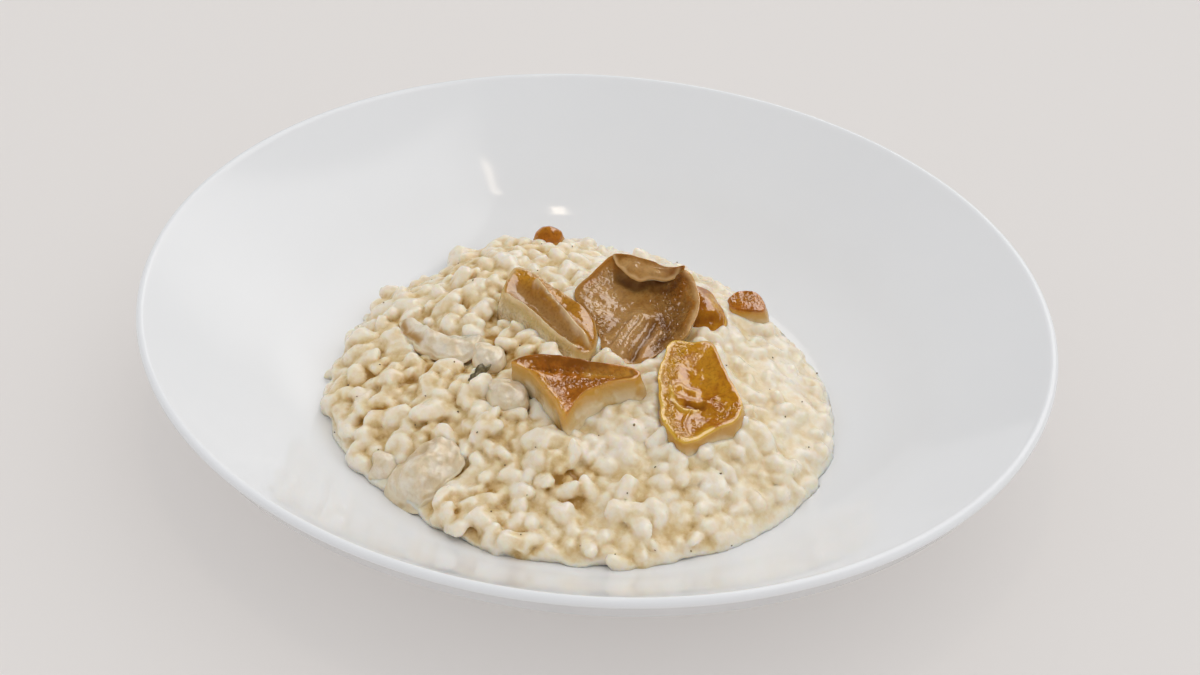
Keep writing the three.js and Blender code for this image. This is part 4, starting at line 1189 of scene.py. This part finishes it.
def toppingSurface(t, s):
    steps, down = s["steps"], np.array([0, 0, s["rounding"]])
    edge = rimPoints(t["rim"], steps)
    top, face = faceRings(t, edge, s["rings"])
    rings = [ring - down * smoothStep(*s["roundFrom"], share) ** 2 for share, ring in face]
    shares = [share for share, ring in face]
    centre = np.array(t["centre"], float)
    out = edge[:, :2] - centre[:2]
    out = out / np.linalg.norm(out, axis=1)[:, None]
    foot = edge[:, :2] + out * t["spread"] + np.array(t["lean"])
    row = np.array([toRow(x, y) for x, y in foot + np.array(t["at"][:2])]) * mm
    ground = heapTop(row[:, 0], row[:, 1]) / mm - t["at"][2] - t["sink"]
    low = np.minimum(ground, edge[:, 2] - s["leastSide"])
    for share in np.linspace(0, 1, s["sideRings"] + 1)[1:]:
        flat = edge[:, :2] + (foot - edge[:, :2]) * share + out * s["bulge"] * math.sin(math.pi * share)
        rings.append(np.column_stack([flat, (edge[:, 2] - s["rounding"]) * (1 - share) + low * share]))
        shares.append(1 + share)
    middle = centre[:2] + np.array(t["lean"])
    for part in s["bottomRings"]:
        rings.append(np.column_stack([middle + (foot - middle) * part, low]))
        shares.append(2.0)
    points = np.concatenate([[top], *rings, [(*middle, low.mean())]])
    return points, ringFaces(len(rings), steps), np.concatenate([[0], np.repeat(shares, steps), [2.0]])


def flapSurface(t, s):
    steps, down = s["flapSteps"], np.array([0, 0, t["thickness"]])
    edge = rimPoints(t["rim"], steps)
    top, face = faceRings(t, edge, s["flapRings"])
    under = [ring - down for share, ring in face[-2::-2]]
    rings = [ring for share, ring in face] + [edge - down * 0.5] + under
    shares = [share for share, ring in face] + [1.0] + [3.0] * len(under)
    points = np.concatenate([[top], *rings, [top - down]])
    return points, ringFaces(len(rings), steps), np.concatenate([[0], np.repeat(shares, steps), [3.0]])


def finishTopping(name, t, surface, flesh, slot, nodes):
    s = toppingSizes
    points, faces, share = surface  # share is 1 at the rim, 2 at the foot and 3 under a sheet
    masks = strokeMasks(t["strokes"], points + shake(points, *s["wander"]))
    lift = masks.pop("lift") * (1 - smoothStep(*s["face"], share))
    points = points + np.array([0, 0, 1]) * lift[:, None]
    visible = 1 - smoothStep(*s["visible"], share)
    points = points + shake(points, *s["buckle"]) * visible[:, None]
    points = points + shake(points, *s["wrinkle"]) * (visible * (s["smooth"] + masks["rough"]))[:, None]
    if name.startswith("coated"):  # cream hides the piece's own edges
        for cream in s["cream"]:
            points = points + shake(points, *cream) * visible[:, None]
    masks["share"] = share
    x, y, z = (points + np.array(t["at"])).T
    makePiece(name, np.stack([*turned(x, y), z], axis=1) * mm, faces, flesh, slot, nodes, masks)


crinkles = {
    "folds": {"Scale": 650.0, "Detail": 5.0, "Roughness": 0.62, "Distortion": 0.8}, "foldDepth": 0.0006,
    "soft": {"Scale": 300.0, "Detail": 2.0}, "softDepth": 0.0012, "softStrength": 0.35,
    "cells": {"Scale": 480.0}, "cellDepth": 0.0012, "least": 0.12,
}


def makeCrinkle(c):  # the crinkled wet skin of fried mushroom
    group, given, leave = newGroup("crinkle", {"Vector": "Vector", "Rough": "Float"}, {"Normal": "Vector"})
    place = {"Vector": given["Vector"]}

    def bump(height, depth, strength, normal=None):
        inputs = {"Height": height, "Distance": depth, "Strength": strength}
        inputs.update({"Normal": normal} if normal else {})
        return addNode(group, "ShaderNodeBump", inputs).outputs["Normal"]

    folds = addNode(group, "ShaderNodeTexNoise", {**place, **c["folds"]}, noise_type="RIDGED_MULTIFRACTAL")
    soft = addNode(group, "ShaderNodeTexNoise", {**place, **c["soft"]})
    cells = addNode(group, "ShaderNodeTexVoronoi", {**place, **c["cells"]}, feature="DISTANCE_TO_EDGE")
    folded = calculate(group, "ADD", given["Rough"], c["least"])
    normal = bump(cells.outputs["Distance"], c["cellDepth"], given["Rough"])
    normal = bump(folds.outputs["Fac"], c["foldDepth"], folded, normal)
    normal = bump(soft.outputs["Fac"], c["softDepth"], c["softStrength"], normal)
    group.links.new(normal, leave.inputs["Normal"])
    return group


crinkleGroup = makeCrinkle(crinkles)
fleshLook = {
    "patch": (240.0, 0.35, 0.65), "speck": (1000.0, 0.46, 0.64), "leastDark": 0.75,
    # under: the underside of the curled flap is painted dark as shade
    "border": (0.955, 1.0), "below": (1.0, 1.12), "side": (1.1, 1.5), "under": (2.4, 3.0),
    # the rice's cream clings to its sides
    "cling": (130.0, 0.42, 0.58), "clingFrom": (1.15, 1.6), "clingMost": 0.75,
    "clingColor": (0.80, 0.68, 0.47),
    "plain": {
        "IOR": 1.57,
        "Subsurface Weight": 0.25, "Subsurface Radius": (1.0, 0.5, 0.2), "Subsurface Scale": 1.6 * mm,
    },
}


def makeFlesh(name, p):
    look = fleshLook
    material, tree, shader, coordinates = newMaterial(name)
    share = attribute(tree, "share")
    patch, speck, cling = (mottle(tree, coordinates, *look[key]) for key in ("patch", "speck", "cling"))
    face = mixColor(tree, patch, p["base"], p["second"])
    for tint in ("grey", "gold"):
        face = mixColor(tree, attribute(tree, tint), face, p[tint])
    face = mixColor(tree, calculate(tree, "MULTIPLY", speck, p["speck"]), face, p["dark"])
    broken = ramp(tree, patch, 0, 1, look["leastDark"], 1.0)
    face = mixColor(tree, calculate(tree, "MULTIPLY", attribute(tree, "dark"), broken), face, p["dark"])
    face = mixColor(tree, attribute(tree, "pale"), face, p["pale"])
    face = mixColor(tree, ramp(tree, share, *look["border"], 0.0, p["border"]), face, p["rim"])
    side = mixColor(tree, patch, p["side"], p["sideSecond"])
    side = mixColor(tree, ramp(tree, share, *look["side"]), p["edge"], side)
    creamy = calculate(tree, "MULTIPLY", cling, ramp(tree, share, *look["clingFrom"]))
    side = mixColor(tree, calculate(tree, "MULTIPLY", creamy, look["clingMost"]), side, look["clingColor"])
    # painted shade: the flap's underside turns dark
    side = mixColor(tree, ramp(tree, share, *look["under"]), side, p["dark"])
    inputs = {"Vector": coordinates, "Rough": attribute(tree, "rough")}
    crinkle = addNode(tree, "ShaderNodeGroup", inputs, node_tree=crinkleGroup)
    fillInputs(tree, shader, {
        "Base Color": mixColor(tree, ramp(tree, share, *look["below"]), face, side),
        "Normal": crinkle.outputs["Normal"],
        "Roughness": p["rough"], "Specular IOR Level": p["wet"],
        **look["plain"],
    })
    return material


fleshes = {
    "browned_mushroom": {
        "base": (0.50, 0.17, 0.014), "second": (0.38, 0.12, 0.008), "dark": (0.24, 0.075, 0.006),
        "grey": (0.3, 0.15, 0.05), "gold": (0.62, 0.27, 0.02), "pale": (0.74, 0.44, 0.10),
        "rim": (0.62, 0.30, 0.04), "border": 0.7, "edge": (0.58, 0.31, 0.05),
        "side": (0.54, 0.32, 0.09), "sideSecond": (0.62, 0.44, 0.2),
        "speck": 0.45, "wet": 0.65, "rough": 0.14,
    },
    "golden_mushroom": {
        "base": (0.60, 0.27, 0.012), "second": (0.46, 0.16, 0.008), "dark": (0.28, 0.085, 0.005),
        "grey": (0.3, 0.15, 0.05), "gold": (0.70, 0.38, 0.03), "pale": (0.80, 0.54, 0.10),
        "rim": (0.76, 0.47, 0.06), "border": 0.8, "edge": (0.54, 0.26, 0.02),
        "side": (0.52, 0.28, 0.06), "sideSecond": (0.62, 0.44, 0.18),
        "speck": 0.35, "wet": 0.65, "rough": 0.12,
    },
    "grey_mushroom": {
        "base": (0.47, 0.25, 0.07), "second": (0.37, 0.17, 0.035), "dark": (0.15, 0.05, 0.008),
        "grey": (0.4, 0.26, 0.13), "gold": (0.44, 0.16, 0.012), "pale": (0.64, 0.40, 0.18),
        "rim": (0.60, 0.32, 0.08), "border": 0.5, "edge": (0.5, 0.28, 0.07),
        "side": (0.5, 0.34, 0.16), "sideSecond": (0.42, 0.26, 0.11),
        "speck": 0.3, "wet": 0.5, "rough": 0.14,
    },
    "ochre_mushroom": {
        "base": (0.50, 0.23, 0.025), "second": (0.38, 0.15, 0.012), "dark": (0.2, 0.06, 0.005),
        "grey": (0.44, 0.24, 0.075), "gold": (0.66, 0.31, 0.025), "pale": (0.80, 0.64, 0.38),
        "rim": (0.74, 0.52, 0.22), "border": 0.6, "edge": (0.60, 0.42, 0.16),
        "side": (0.56, 0.38, 0.15), "sideSecond": (0.72, 0.58, 0.36),
        "speck": 0.3, "wet": 0.6, "rough": 0.15,
    },
    "coated_mushroom": {
        "base": (0.83, 0.75, 0.61), "second": (0.75, 0.62, 0.42), "dark": (0.42, 0.25, 0.08),
        "grey": (0.7, 0.6, 0.45), "gold": (0.52, 0.28, 0.07), "pale": (0.92, 0.84, 0.7),
        "rim": (0.76, 0.64, 0.45), "border": 0.5, "edge": (0.80, 0.70, 0.52),
        "side": (0.78, 0.67, 0.49), "sideSecond": (0.62, 0.45, 0.22),
        "speck": 0.1, "wet": 0.4, "rough": 0.3,
    },
}
fleshOf = {slot: makeFlesh(slot + "_flesh", palette) for slot, palette in fleshes.items()}
slotOf = {row["node"]: row["material_slot"] for row in frame["record"]["subparts"]}

for name, topping in toppings.items():
    surface = toppingSurface(topping, toppingSizes)
    finishTopping(name + "_flesh", topping, surface, fleshOf[slotOf[name]], slotOf[name], [name])
surface = flapSurface(capFlap, toppingSizes)
finishTopping("cap_flap", capFlap, surface, fleshOf["grey_mushroom"], "grey_mushroom", [])
print("toppings made")

for name in ("Cube", "Light", "Camera"):  # a new file's own objects
    if name in bpy.data.objects:
        bpy.data.objects.remove(bpy.data.objects[name])
